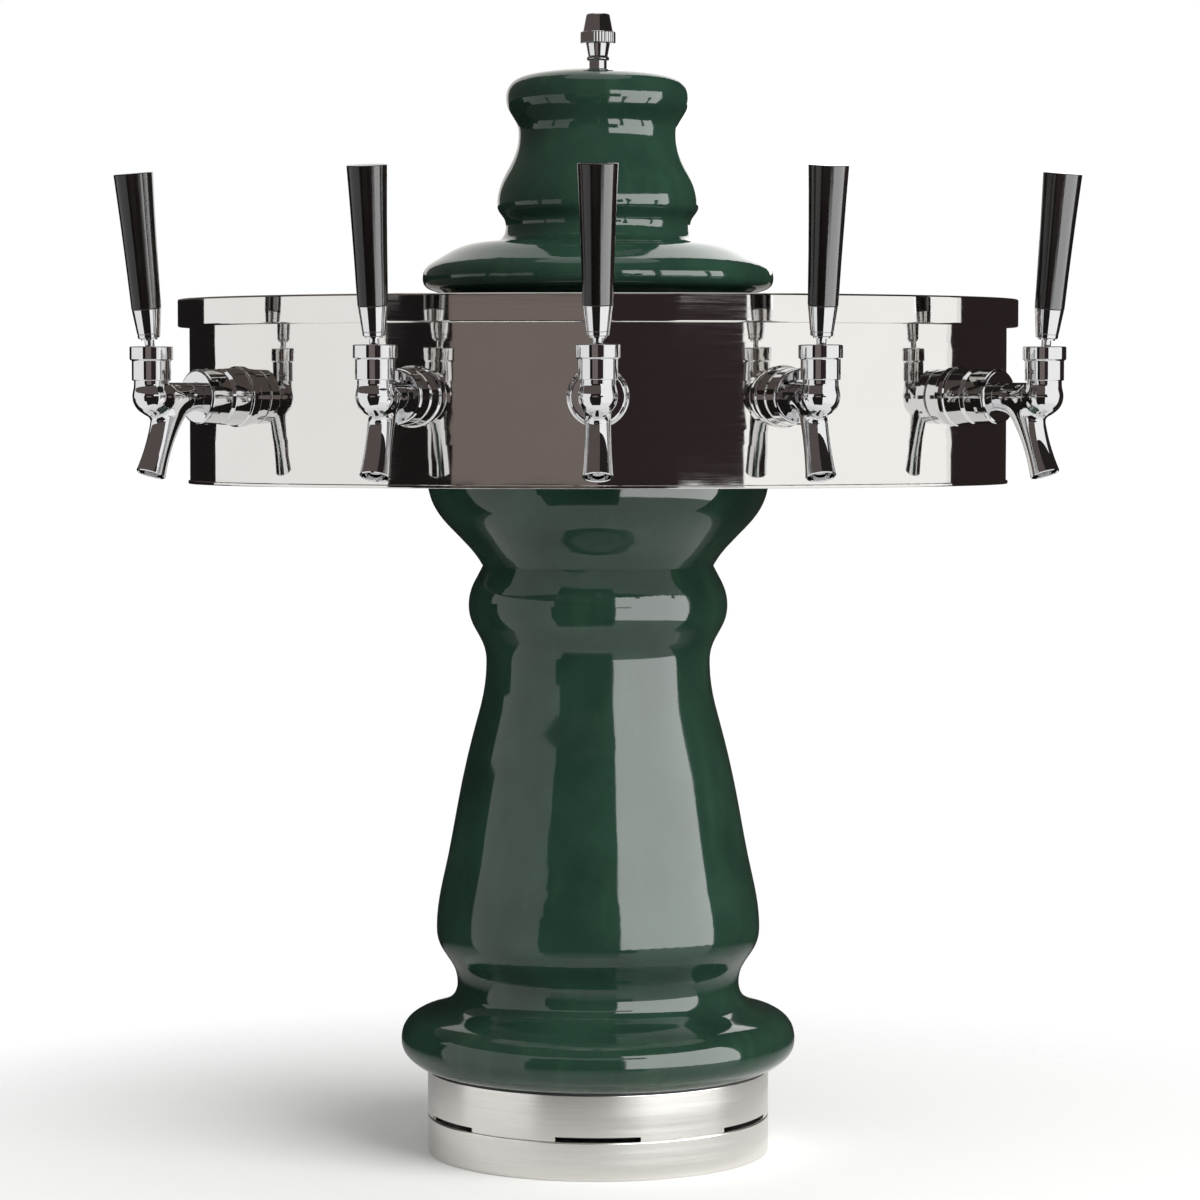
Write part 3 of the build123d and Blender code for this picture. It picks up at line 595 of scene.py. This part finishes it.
def vent_cutter(base):
    """Curved block that opens one vent, centred on -Y."""
    half = base.vent_arc / 2
    near, far = BASE_R - 2 * base.flange, BASE_R + base.flange
    steps = PANEL_STEPS
    verts, faces = [], []
    for radius in (near, far):
        for height in (SEAM_Z - base.wall, SEAM_Z + base.vent_height):
            for i in range(steps + 1):
                turn = half * (2 * i / steps - 1)
                verts.append((radius * math.sin(turn), -radius * math.cos(turn), height))
    row = steps + 1
    corners = (0, row, 3 * row, 2 * row)
    for i in range(steps):
        for a, b in zip(corners, corners[1:] + corners[:1]):
            faces.append((a + i, a + i + 1, b + i + 1, b + i))
    faces.append(tuple(reversed(corners)))
    faces.append(tuple(c + steps for c in corners))
    return mesh_from("vent", verts, faces)


def finial_mesh(finial):
    bead = FINIAL_FOOT + finial.stem_h
    vase = bead + finial.bead_h
    band = vase + finial.vase_h
    spire = band + finial.band_h
    e = finial.edge
    half_bead = finial.bead_h / 2 - CLEARANCE
    corners = [
        (finial.bore_r, FINIAL_FOOT), (finial.stem_r, FINIAL_FOOT, e / 3),
        (finial.stem_r, bead), (finial.bead_r, bead, half_bead),
        (finial.bead_r, vase, half_bead), (finial.vase_foot_r, vase, e / 3),
        (finial.vase_top_r, band, e / 3), (FINIAL_R, band, e), (FINIAL_R, spire, e),
        (finial.spire_foot_r, spire, e / 3), (finial.spire_top_r, TOWER_TOP, 2 * e),
        (0, TOWER_TOP), (0, FINIAL_FOOT + finial.bore_h), (finial.bore_r, FINIAL_FOOT + finial.bore_h)]

    def knurl(turns, radius, height):
        if band + e / 2 < height < spire - e / 2:
            return radius - finial.tooth_depth * (0.5 + 0.5 * np.cos(turns * finial.teeth))
        return np.full(len(turns), radius)

    return turned("finial", corners, finial.teeth * TOOTH_STEPS, knurl)


def flange_mesh(tap):
    foot = -tap.flange_sink
    shoulder = tap.flange_rim + tap.edge
    return along_shank(turned("tap_flange", [
        (tap.flange_bore, foot), (FLANGE_R, foot), (FLANGE_R, tap.flange_rim, tap.edge),
        (FLANGE_R - tap.edge, shoulder, tap.edge / 2),
        (tap.nose_r, FLANGE_L - tap.nose, tap.nose / 2),
        (tap.nose_r - tap.nose / 2, FLANGE_L, tap.edge / 2), (tap.recess_r, FLANGE_L),
        (tap.recess_r, FLANGE_L - tap.recess_depth), (tap.flange_bore, FLANGE_L - tap.recess_depth)],
        FINE_STEPS))


def nut_mesh(tap):
    neck = tap.neck_r + CLEARANCE
    lip = NUT_END - tap.nut_lip
    nut = along_shank(turned("tap_nut", [
        (tap.nut_thread_r, NUT_START), (NUT_R, NUT_START, tap.edge), (NUT_R, NUT_END, 2 * tap.edge),
        (neck, NUT_END, tap.edge / 4), (neck, lip), (tap.nut_thread_r, lip)], NUT_STEPS))
    slots = []
    for i in range(tap.slots):
        slot = box_mesh("slot", (tap.slot_width, 2 * tap.slot_length, 2 * tap.slot_depth),
                        (0, -NUT_END, NUT_R))
        slot.transform(Matrix.Rotation(math.tau / tap.slots * i, 4, "Y"))
        slots.append(slot)
    return cut(nut, slots)


def bonnet_mesh(bonnet):
    foot, top = BONNET_FOOT - SHANK_Z, BONNET_TOP - SHANK_Z
    rim = top - bonnet.rim_h
    e = bonnet.edge
    mesh = turned("tap_bonnet", [
        (bonnet.thread_r, foot), (bonnet.body_r, foot, e), (bonnet.body_r, rim - bonnet.step, e),
        (BONNET_R, rim, e / 2), (BONNET_R, top, e), (bonnet.mouth_r, top, e / 3),
        (bonnet.lip_r, PIVOT_H + bonnet.lip_h), (bonnet.socket_r, PIVOT_H + bonnet.socket_h),
        (bonnet.socket_r, bonnet.ledge), (bonnet.thread_r, bonnet.ledge)], FINE_STEPS)
    mesh.transform(Matrix.Translation((0, -TAP_REACH, 0)))
    return mesh


def ferrule_mesh(lever):
    start, end = lever.start, lever.start + lever.ferrule_l
    e = lever.edge
    growth = (lever.ferrule_top_r - lever.ferrule_foot_r) / lever.ferrule_l

    def side(height):
        return lever.ferrule_foot_r + growth * (height - start)

    groove = start + lever.collar_h
    return turned("tap_ferrule", [
        (lever.stud_r, start), (lever.ferrule_foot_r, start, e),
        (side(groove), groove, e / 3), (side(groove) - lever.collar_in, groove + e / 2, e / 4),
        (side(groove + e), groove + e, e / 3), (lever.ferrule_top_r, end, e / 2),
        (lever.stud_r, end)])


def handle_mesh(lever):
    start = lever.start + lever.ferrule_l
    end = start + lever.handle_l
    steps = 16
    side = []
    for i in range(1, steps):
        along = i / steps
        radius = lever.handle_foot_r + (lever.handle_top_r - lever.handle_foot_r) * along
        side.append((radius - lever.waist_in * 4 * along * (1 - along), start + lever.handle_l * along))
    return turned("tap_handle", [
        (lever.stud_r, start), (lever.handle_foot_r, start, lever.edge), *side,
        (lever.handle_top_r, end, lever.edge), (0, end), (0, start + lever.stud_hole),
        (lever.stud_r, start + lever.stud_hole)])


# ---- finishes
def add(tree, kind, links=None, **settings):
    """Adds a shader node. links fills its open sockets, by name or number, with values, with
    other nodes' sockets, or with a node, which stands for its first open output."""
    node = tree.nodes.new(f"ShaderNode{kind}")
    for name, value in settings.items():
        setattr(node, name, value)
    sockets = [socket for socket in node.inputs if socket.enabled]
    for key, value in (links or {}).items():
        numbered = isinstance(key, int)
        socket = sockets[key] if numbered else next(s for s in sockets if s.name == key)
        if isinstance(value, bpy.types.Node):
            value = next(output for output in value.outputs if output.enabled)
        if isinstance(value, bpy.types.NodeSocket):
            tree.links.new(value, socket)
        else:
            socket.default_value = value
    return node


def blank_material(name):
    material = bpy.data.materials.new(name)
    material.use_nodes = True
    material.node_tree.nodes.clear()
    return material, material.node_tree


def make_finish(shade, colours):
    """Material named like the function shade, whose surface is the shader that
    shade(tree, here, colours) returns. here is the shaded point in its object's own axes."""
    material, tree = blank_material(shade.__name__)
    here = add(tree, "TexCoord").outputs["Object"]
    add(tree, "OutputMaterial", {"Surface": shade(tree, here, colours)})
    return material


def rgba(tone, shade=1.0):
    return (*(c * shade for c in tone), 1)


def per_mm(millimetres):
    """Noise scale whose blobs are about that wide."""
    return 1 / (millimetres * MM)


def surface(tree, share, tones, gloss, look):
    """Principled shader whose colour runs from one tone to another by a pattern's share.

    gloss is a roughness, or a pattern with the range it is read over and the roughness at
    either end of that. look fills further sockets."""
    tone = add(tree, "Mix", {"Factor": share, "A": tones[0], "B": tones[1]}, data_type="RGBA")
    if isinstance(gloss, tuple):
        pattern, start, end, least, most = gloss
        gloss = add(tree, "MapRange", {
            "Value": pattern, "From Min": start, "From Max": end, "To Min": least, "To Max": most})
    return add(tree, "BsdfPrincipled", {"Base Color": tone, "Roughness": gloss, **look})


def glazed_earthenware_green(tree, here, colours):
    """Green gloss glaze on slip-cast earthenware, fired once.

    Glassy: a sharp reflection over a deep colour that darkens where the glaze pooled and
    pales in faint runs where it broke thin, with a few iron flecks."""
    drawn = add(tree, "Mapping", {"Vector": here, "Scale": (1, 1, 0.22)})
    clouds = add(tree, "TexNoise", {"Vector": here, "Scale": per_mm(60), "Detail": 4.0})
    runs = add(tree, "TexNoise", {"Vector": drawn, "Scale": per_mm(28), "Detail": 3.0})
    flecks = add(tree, "TexNoise", {"Vector": here, "Scale": per_mm(1.6), "Detail": 1.0})
    pooled = add(tree, "MapRange", {"Value": clouds, "From Min": 0.35, "From Max": 0.7})
    broken = add(tree, "MapRange", {"Value": runs, "From Min": 0.55, "From Max": 0.85, "To Max": 0.4})
    fleck = add(tree, "MapRange", {"Value": flecks, "From Min": 0.7, "From Max": 0.78, "To Max": 0.5})
    tone = rgba(colours.glaze)
    for share, layer in ((pooled, colours.glaze_pool), (broken, colours.glaze_thin)):
        tone = add(tree, "Mix", {"Factor": share, "A": tone, "B": rgba(layer)}, data_type="RGBA")
    wave = add(tree, "TexNoise", {"Vector": here, "Scale": per_mm(55), "Detail": 1.0})
    peel = add(tree, "TexNoise", {"Vector": here, "Scale": per_mm(5), "Detail": 2.0})
    slow = add(tree, "Bump", {"Height": wave, "Distance": 0.35 * MM})
    relief = add(tree, "Bump", {"Height": peel, "Distance": 0.012 * MM, "Normal": slow})
    return surface(tree, fleck, (tone, rgba(colours.glaze_fleck)), (clouds, 0.3, 0.8, 0.045, 0.1),
                   {"Normal": relief, "IOR": 1.5})


def stainless_mirror_polished(tree, here, colours):
    """304 stainless sheet, rolled round the oval and polished to a mirror.

    Sharp reflections with the faint waviness of bent sheet and hairlines left by the buff."""
    along = add(tree, "Mapping", {"Vector": here, "Scale": (0.03, 0.03, 1)})
    tarnish = add(tree, "TexNoise", {"Vector": here, "Scale": per_mm(90), "Detail": 3.0})
    sheet = add(tree, "TexNoise", {"Vector": here, "Scale": per_mm(120), "Detail": 1.0})
    # Buffing hairlines are under 0.1 mm apart; they are drawn at 1.2 mm so that they show.
    buff = add(tree, "TexNoise", {"Vector": along, "Scale": per_mm(1.2), "Detail": 2.0})
    wave = add(tree, "Bump", {"Height": sheet, "Distance": 0.12 * MM})
    lines = add(tree, "Bump", {"Height": buff, "Distance": 0.0006 * MM, "Normal": wave})
    return surface(tree, tarnish, (rgba(colours.polished), rgba(colours.polished, 0.94)),
                   (buff, 0.3, 0.8, 0.02, 0.07), {"Normal": lines, "Metallic": 1.0})


def stainless_turned(tree, here, colours):
    """Stainless ring, turned on a lathe and lightly polished.

    Soft stretched highlights across fine lines that run round the ring, with painted shade that darkens
    the steel along those lines."""
    along = add(tree, "Mapping", {"Vector": here, "Scale": (0.012, 0.012, 1)})
    # The tool marks are 0.15 mm apart; they are drawn at 0.9 mm so that they show.
    marks = add(tree, "TexNoise", {"Vector": along, "Scale": per_mm(0.9), "Detail": 3.0})
    bands = add(tree, "TexNoise", {"Vector": along, "Scale": per_mm(7), "Detail": 2.0})
    # depth is the share of painted shade, which darkens the steel along the tool marks.
    depth = add(tree, "MapRange", {"Value": marks, "From Min": 0.35, "From Max": 0.75, "To Max": 0.6})
    relief = add(tree, "Bump", {"Height": marks, "Distance": 0.004 * MM})
    tangent = add(tree, "Tangent", direction_type="RADIAL", axis="Z")
    return surface(tree, depth, (rgba(colours.turned), rgba(colours.turned_groove_shade)),
                   (bands, 0.3, 0.7, 0.16, 0.27),
                   {"Normal": relief, "Tangent": tangent, "Metallic": 1.0, "Anisotropic": 0.55})


def chrome_on_brass(tree, here, colours):
    """Bright nickel-chrome plate on polished brass.

    Hard reflections, with a slight haze where hands and cloths touch it."""
    haze = add(tree, "TexNoise", {"Vector": here, "Scale": per_mm(14), "Detail": 4.0, "Roughness": 0.6})
    cast = add(tree, "TexNoise", {"Vector": here, "Scale": per_mm(9), "Detail": 1.0})
    worn = add(tree, "MapRange", {"Value": haze, "From Min": 0.3, "From Max": 0.8, "To Max": 0.5})
    relief = add(tree, "Bump", {"Height": cast, "Distance": 0.006 * MM})
    return surface(tree, worn, (rgba(colours.chrome), rgba(colours.chrome, 0.9)),
                   (haze, 0.45, 0.85, 0.018, 0.09), {"Normal": relief, "Metallic": 1.0})


def phenolic_moulded_black(tree, here, colours):
    """Black phenolic resin, compression moulded and buffed.

    A deep warm black with long clean highlights and faint buffing lines."""
    drawn = add(tree, "Mapping", {"Vector": here, "Scale": (1, 1, 0.3)})
    along = add(tree, "Mapping", {"Vector": here, "Scale": (1, 1, 0.04)})
    bloom = add(tree, "TexNoise", {"Vector": drawn, "Scale": per_mm(22), "Detail": 4.0})
    # Buffing lines are finer than 0.1 mm; they are drawn at 0.8 mm so that they show.
    buff = add(tree, "TexNoise", {"Vector": along, "Scale": per_mm(0.8), "Detail": 2.0})
    warm = add(tree, "MapRange", {"Value": bloom, "From Min": 0.45, "From Max": 0.75})
    relief = add(tree, "Bump", {"Height": buff, "Distance": 0.003 * MM})
    return surface(tree, warm, (rgba(colours.handle), rgba(colours.handle_bloom)),
                   (buff, 0.3, 0.8, 0.1, 0.2), {"Normal": relief, "IOR": 1.5})


def steel_zinc_plated(tree, here, colours):
    """Mild steel with bright zinc plate: grey, with a faint blotched spangle."""
    spangle = add(tree, "TexNoise", {"Vector": here, "Scale": per_mm(3), "Detail": 3.0})
    return surface(tree, spangle, (rgba(colours.zinc), rgba(colours.zinc, 0.75)),
                   (spangle, 0.3, 0.7, 0.28, 0.42), {"Metallic": 1.0})


def brass_turned(tree, here, colours):
    """Free-cutting brass, turned: yellow metal, browned a little by beer and air."""
    tarnish = add(tree, "TexNoise", {"Vector": here, "Scale": per_mm(8), "Detail": 4.0})
    marks = add(tree, "TexNoise", {"Vector": here, "Scale": per_mm(0.7), "Detail": 1.0})
    relief = add(tree, "Bump", {"Height": marks, "Distance": 0.01 * MM})
    return surface(tree, tarnish, (rgba(colours.brass), rgba(colours.brass, 0.6)), 0.25,
                   {"Normal": relief, "Metallic": 1.0})


def nitrile_rubber_moulded(tree, here, colours):
    """Moulded nitrile rubber: matt black with the grain of its mould."""
    grain = add(tree, "TexNoise", {"Vector": here, "Scale": per_mm(0.8), "Detail": 2.0})
    relief = add(tree, "Bump", {"Height": grain, "Distance": 0.03 * MM})
    return surface(tree, grain, (rgba(colours.rubber, 0.7), rgba(colours.rubber, 1.6)), 0.62,
                   {"Normal": relief, "IOR": 1.52})


def polyethylene_extruded(tree, here, colours):
    """Extruded polyethylene beverage tube: waxy and slightly see-through."""
    cloud = add(tree, "TexNoise", {"Vector": here, "Scale": per_mm(12), "Detail": 3.0})
    return surface(tree, cloud, (rgba(colours.tube), rgba(colours.tube, 0.85)), 0.32,
                   {"IOR": 1.51, "Subsurface Weight": 0.3, "Subsurface Scale": 2 * MM})


# Finish of each material slot
FINISHES = {
    "mirror_steel": stainless_mirror_polished,
    "ring_steel": stainless_turned,
    "green_glaze": glazed_earthenware_green,
    "inner_steel": steel_zinc_plated,
    "gasket_rubber": nitrile_rubber_moulded,
    "shank_brass": brass_turned,
    "line_tube": polyethylene_extruded,
    "black_handle": phenolic_moulded_black,
    "valve_brass": brass_turned,
    "chrome_plate": chrome_on_brass,
}


# ---- operators
class TOWER_OT_base(bpy.types.Operator):
    """Turn the two base rings and open the vents at their seam"""
    bl_idname = "tower.base"
    bl_label = "Base Rings"

    def execute(self, context):
        base = context.scene.tower_base
        lower = ring_mesh("base_lower", base, 0, SEAM_Z, base.edge, base.shoulder)
        stand_for("base_ring_lower", lower)
        upper = ring_mesh("base_upper", base, SEAM_Z, BASE_TOP, base.edge, base.edge)
        vents = []
        for i in range(base.vents):
            vent = vent_cutter(base)
            vent.transform(Matrix.Rotation(math.tau / base.vents * i, 4, "Z"))
            vents.append(vent)
        stand_for("base_ring_upper", cut(upper, vents), soften=base.edge / 3)
        return {"FINISHED"}


class TOWER_OT_finial(bpy.types.Operator):
    """Turn the finial and knurl its band"""
    bl_idname = "tower.finial"
    bl_label = "Finial"

    def execute(self, context):
        stand_for("finial", finial_mesh(context.scene.tower_finial))
        return {"FINISHED"}


class TOWER_OT_fittings(bpy.types.Operator):
    """Make the flange and the slotted nut of each tap"""
    bl_idname = "tower.fittings"
    bl_label = "Tap Fittings"

    def execute(self, context):
        tap = context.scene.tower_tap
        on_each_tap("flange", flange_mesh(tap))
        on_each_tap("coupling_nut", nut_mesh(tap), soften=tap.slot_edge)
        return {"FINISHED"}


class TOWER_OT_bodies(bpy.types.Operator):
    """Cast the tap bodies, with the spout blended into ball and neck"""
    bl_idname = "tower.bodies"
    bl_label = "Tap Bodies"

    def execute(self, context):
        on_each_tap("body", body_mesh(context.scene.tower_tap))
        return {"FINISHED"}


class TOWER_OT_bonnets(bpy.types.Operator):
    """Turn the bonnets"""
    bl_idname = "tower.bonnets"
    bl_label = "Bonnets"

    def execute(self, context):
        on_each_tap("bonnet", bonnet_mesh(context.scene.tower_bonnet))
        return {"FINISHED"}


class TOWER_OT_levers(bpy.types.Operator):
    """Make each lever's ferrule and handle"""
    bl_idname = "tower.levers"
    bl_label = "Ferrules and Handles"

    def execute(self, context):
        lever = context.scene.tower_lever
        lean = Matrix.Translation((0, -TAP_REACH, PIVOT_H)) @ Matrix.Rotation(lever.lean, 4, "X")
        on_each_tap("ferrule", ferrule_mesh(lever), lean)
        on_each_tap("handle", handle_mesh(lever), lean)
        return {"FINISHED"}


class TOWER_OT_finishes(bpy.types.Operator):
    """Give every piece and every CAD node that shows its finish"""
    bl_idname = "tower.finishes"
    bl_label = "Finishes"

    def execute(self, context):
        colours = context.scene.tower_colours
        made = {slot: make_finish(shade, colours) for slot, shade in FINISHES.items()}
        for name, node in frame["nodes"].items():
            node.material_slots[0].material = made[SLOTS[name]]
        for obj in bpy.data.objects:
            if "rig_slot" in obj and not obj.data.materials:
                obj.data.materials.append(made[obj["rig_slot"]])
        return {"FINISHED"}


def around(azimuth, distance, height):
    """Point round the tower; azimuth 0 is at the camera's side and 90 at its right."""
    turn = math.radians(azimuth)
    return Vector((distance * math.sin(turn), -distance * math.cos(turn), height))


def card(name, azimuths, distance, heights, tone, strength=1.0, clear=False):
    """Upright curved panel round part of the tower, seen only in reflections.

    A clear one adds its glow to what stands behind it."""
    steps = PANEL_STEPS
    (first, last), (bottom, top) = azimuths, heights
    verts, faces = [], []
    for i in range(steps + 1):
        turn = first + (last - first) * i / steps
        verts += [around(turn, distance, bottom), around(turn, distance, top)]
    for i in range(0, 2 * steps, 2):
        faces.append((i, i + 1, i + 3, i + 2))
    obj = show(name, mesh_from(name, verts, faces))
    material, tree = blank_material(name)
    shader = add(tree, "Emission", {"Color": rgba(linear(tone)), "Strength": strength})
    if clear:
        shader = add(tree, "AddShader", {0: shader, 1: add(tree, "BsdfTransparent")})
    add(tree, "OutputMaterial", {"Surface": shader})
    obj.data.materials.append(material)
    obj.visible_camera = False
    obj.visible_diffuse = False
    obj.visible_shadow = False
    return obj


def bright_metal():
    """Collection that keeps the glow of a lit card off the mirror steel and the chrome."""
    bright = (stainless_mirror_polished.__name__, chrome_on_brass.__name__)
    group = bpy.data.collections.new("bright_metal")
    for obj in bpy.data.objects:
        if obj.active_material and obj.active_material.name in bright:
            group.objects.link(obj)
    for entry in group.collection_objects:
        entry.light_linking.link_state = "EXCLUDE"
    return group


class TOWER_OT_studio(bpy.types.Operator):
    """Set the floor, the even light, the lamp, the cards and the camera"""
    bl_idname = "tower.studio"
    bl_label = "Studio"

    def execute(self, context):
        studio = context.scene.tower_studio
        self.floor(context.scene.tower_colours, studio)
        self.surroundings(studio)
        self.lamp(studio)
        self.cards(studio)
        self.camera(context.scene, studio)
        return {"FINISHED"}

    def cards(self, studio):
        """Cards in storeys, at the heights that column, head and cap mirror. At the front the
        head mirrors far cards, and the slanted flank of the column the one above them.

        Metal mirrors nearly all of a card's light and glaze a twentieth. So a lit card is a
        plain pale one for the metal, behind a strong glow that only the rest shows."""
        near, far = studio.near, studio.far
        metal = bright_metal()
        glow_gap = 2 * MM

        def lit(name, azimuths, distance, heights, strength, tone="#FFFFFF"):
            card(name, azimuths, distance, heights, tone, studio.glare)
            glow = card(f"{name}_glow", azimuths, distance - glow_gap, heights, "#FFFFFF",
                        strength - studio.glare, clear=True)
            glow.light_linking.receiver_collection = metal

        column, head, cap = (-0.6, 0.56), (0.56, 0.86), (0.86, 4.0)
        far_head, far_top = (-1.2, 0.86), (0.86, 2.0)
        key_foot, key_top = -0.05, 1.12
        lit("key", (28, 85), near, (key_foot, key_top), studio.key)
        lit("key_column", (15, 28), near, (key_foot, column[1]), studio.key)
        lit("key_cap", (15, 28), near, (cap[0], key_top), studio.key)
        lit("key_far", (15, 33), far, far_top, studio.key)
        lit("back_sky", (150, 180), near, cap, studio.sky, "#B9B5B1")
        lit("back_sky_left", (180, 210), near, cap, studio.sky / 2, "#B9B5B1")
        card("front_column", (-38.5, 15), near, column, "#211F1E")
        card("front_far", (-38.5, 15), far, far_top, "#211F1E")
        card("head_black_left", (-42, -28), far, far_head, "#1D1A1B")
        card("head_warm", (-28, 0), far, far_head, "#7A706D")
        card("head_black", (0, 28), far, far_head, "#31282A")
        card("cap_left", (-150, 15), near, cap, "#5E5653")
        card("cap_key", (15, 85), near, (key_top, cap[1]), "#2A2625")
        card("cap_right", (85, 150), near, cap, "#2A2625")
        card("right_column", (85, 170), near, column, "#2C2524")
        card("right_head", (87, 170), near, head, "#2C2524")
        card("left_column", (-170, -97), near, column, "#1D1A1B")
        card("left_head", (-170, -106), near, head, "#1D1A1B")

    def lamp(self, studio):
        """Wide lamp at the front right, which lights without being mirrored."""
        place = around(46, 2.2, 1.7)
        middle = Vector((0, 0, 0.45))
        data = bpy.data.lights.new("soft_lamp", "AREA")
        data.size = 2.2
        data.energy = studio.lamp
        obj = show("soft_lamp", data)
        obj.location = place
        obj.rotation_euler = (middle - place).to_track_quat("-Z", "Y").to_euler()
        obj.visible_glossy = False

    def floor(self, colours, studio):
        """Pale disc just under the tower, which fades out towards its edge."""
        reach = studio.floor
        drop = 0.2 * MM
        steps = ROUND_STEPS
        verts = [(0, 0, 0)] + [around(360 * i / steps, reach, 0) for i in range(steps)]
        faces = [(0, 1 + i, 1 + (i + 1) % steps) for i in range(steps)]

        def painted_floor(tree, here, colours):
            away = add(tree, "VectorMath", {0: here}, operation="LENGTH")
            edge = add(tree, "MapRange", {"Value": away, "From Min": reach / 3, "From Max": reach})
            pale = add(tree, "BsdfDiffuse", {"Color": rgba(colours.floor), "Roughness": 0.4})
            clear = add(tree, "BsdfTransparent")
            return add(tree, "MixShader", {"Fac": edge, 1: pale, 2: clear})

        obj = show("floor", mesh_from("floor", verts, faces))
        obj.location.z = -drop
        obj.data.materials.append(make_finish(painted_floor, colours))

    def surroundings(self, studio):
        """White walls for camera and reflections, which light the tower with less strength."""
        world = bpy.data.worlds.new("studio_walls")
        world.use_nodes = True
        tree = world.node_tree
        tree.nodes.clear()
        path = add(tree, "LightPath").outputs
        seen = path["Is Camera Ray"]
        for ray in ("Is Glossy Ray", "Is Transmission Ray"):
            seen = add(tree, "Math", {0: seen, 1: path[ray]}, operation="MAXIMUM")
        strength = add(tree, "MapRange", {"Value": seen, "To Min": studio.fill, "To Max": 1.0})
        sky = add(tree, "Background", {"Color": (1, 1, 1, 1), "Strength": strength})
        add(tree, "OutputWorld", {"Surface": sky})
        bpy.context.scene.world = world

    def camera(self, scene, studio):
        data = bpy.data.cameras.new("camera")
        data.lens = studio.lens
        data.sensor_width = 36
        data.clip_end = 50
        obj = show("camera", data)
        obj.location = (studio.offset, -studio.distance, studio.height)
        obj.rotation_euler = (math.radians(90) - studio.tilt, 0, 0)
        scene.camera = obj
        scene.view_settings.view_transform = "Standard"


class TOWER_PT_panel(bpy.types.Panel):
    """Lists the steps that build the tower"""
    bl_label = "Beer Tower"
    bl_idname = "TOWER_PT_panel"
    bl_space_type = "VIEW_3D"
    bl_region_type = "UI"
    bl_category = "Beer Tower"

    def draw(self, context):
        for name in GROUPS:
            box = self.layout.box()
            group = getattr(context.scene, name)
            for prop in group.bl_rna.properties:
                if prop.identifier not in ("name", "rna_type"):
                    box.prop(group, prop.identifier)
        for step in STEPS:
            self.layout.operator(step.bl_idname)


STEPS = (TOWER_OT_base, TOWER_OT_finial, TOWER_OT_fittings, TOWER_OT_bodies, TOWER_OT_bonnets,
         TOWER_OT_levers, TOWER_OT_finishes, TOWER_OT_studio)


def register():
    for item in (*GROUPS.values(), *STEPS, TOWER_PT_panel):
        bpy.utils.register_class(item)
    for name, group in GROUPS.items():
        setattr(bpy.types.Scene, name, PointerProperty(type=group))


def unregister():
    for name in GROUPS:
        delattr(bpy.types.Scene, name)
    for item in (TOWER_PT_panel, *reversed(STEPS), *GROUPS.values()):
        bpy.utils.unregister_class(item)


def main():
    register()
    bpy.ops.tower.base()
    bpy.ops.tower.finial()
    bpy.ops.tower.fittings()
    bpy.ops.tower.bodies()
    bpy.ops.tower.bonnets()
    bpy.ops.tower.levers()
    bpy.ops.tower.finishes()
    bpy.ops.tower.studio()


if __name__ == "__main__":
    main()
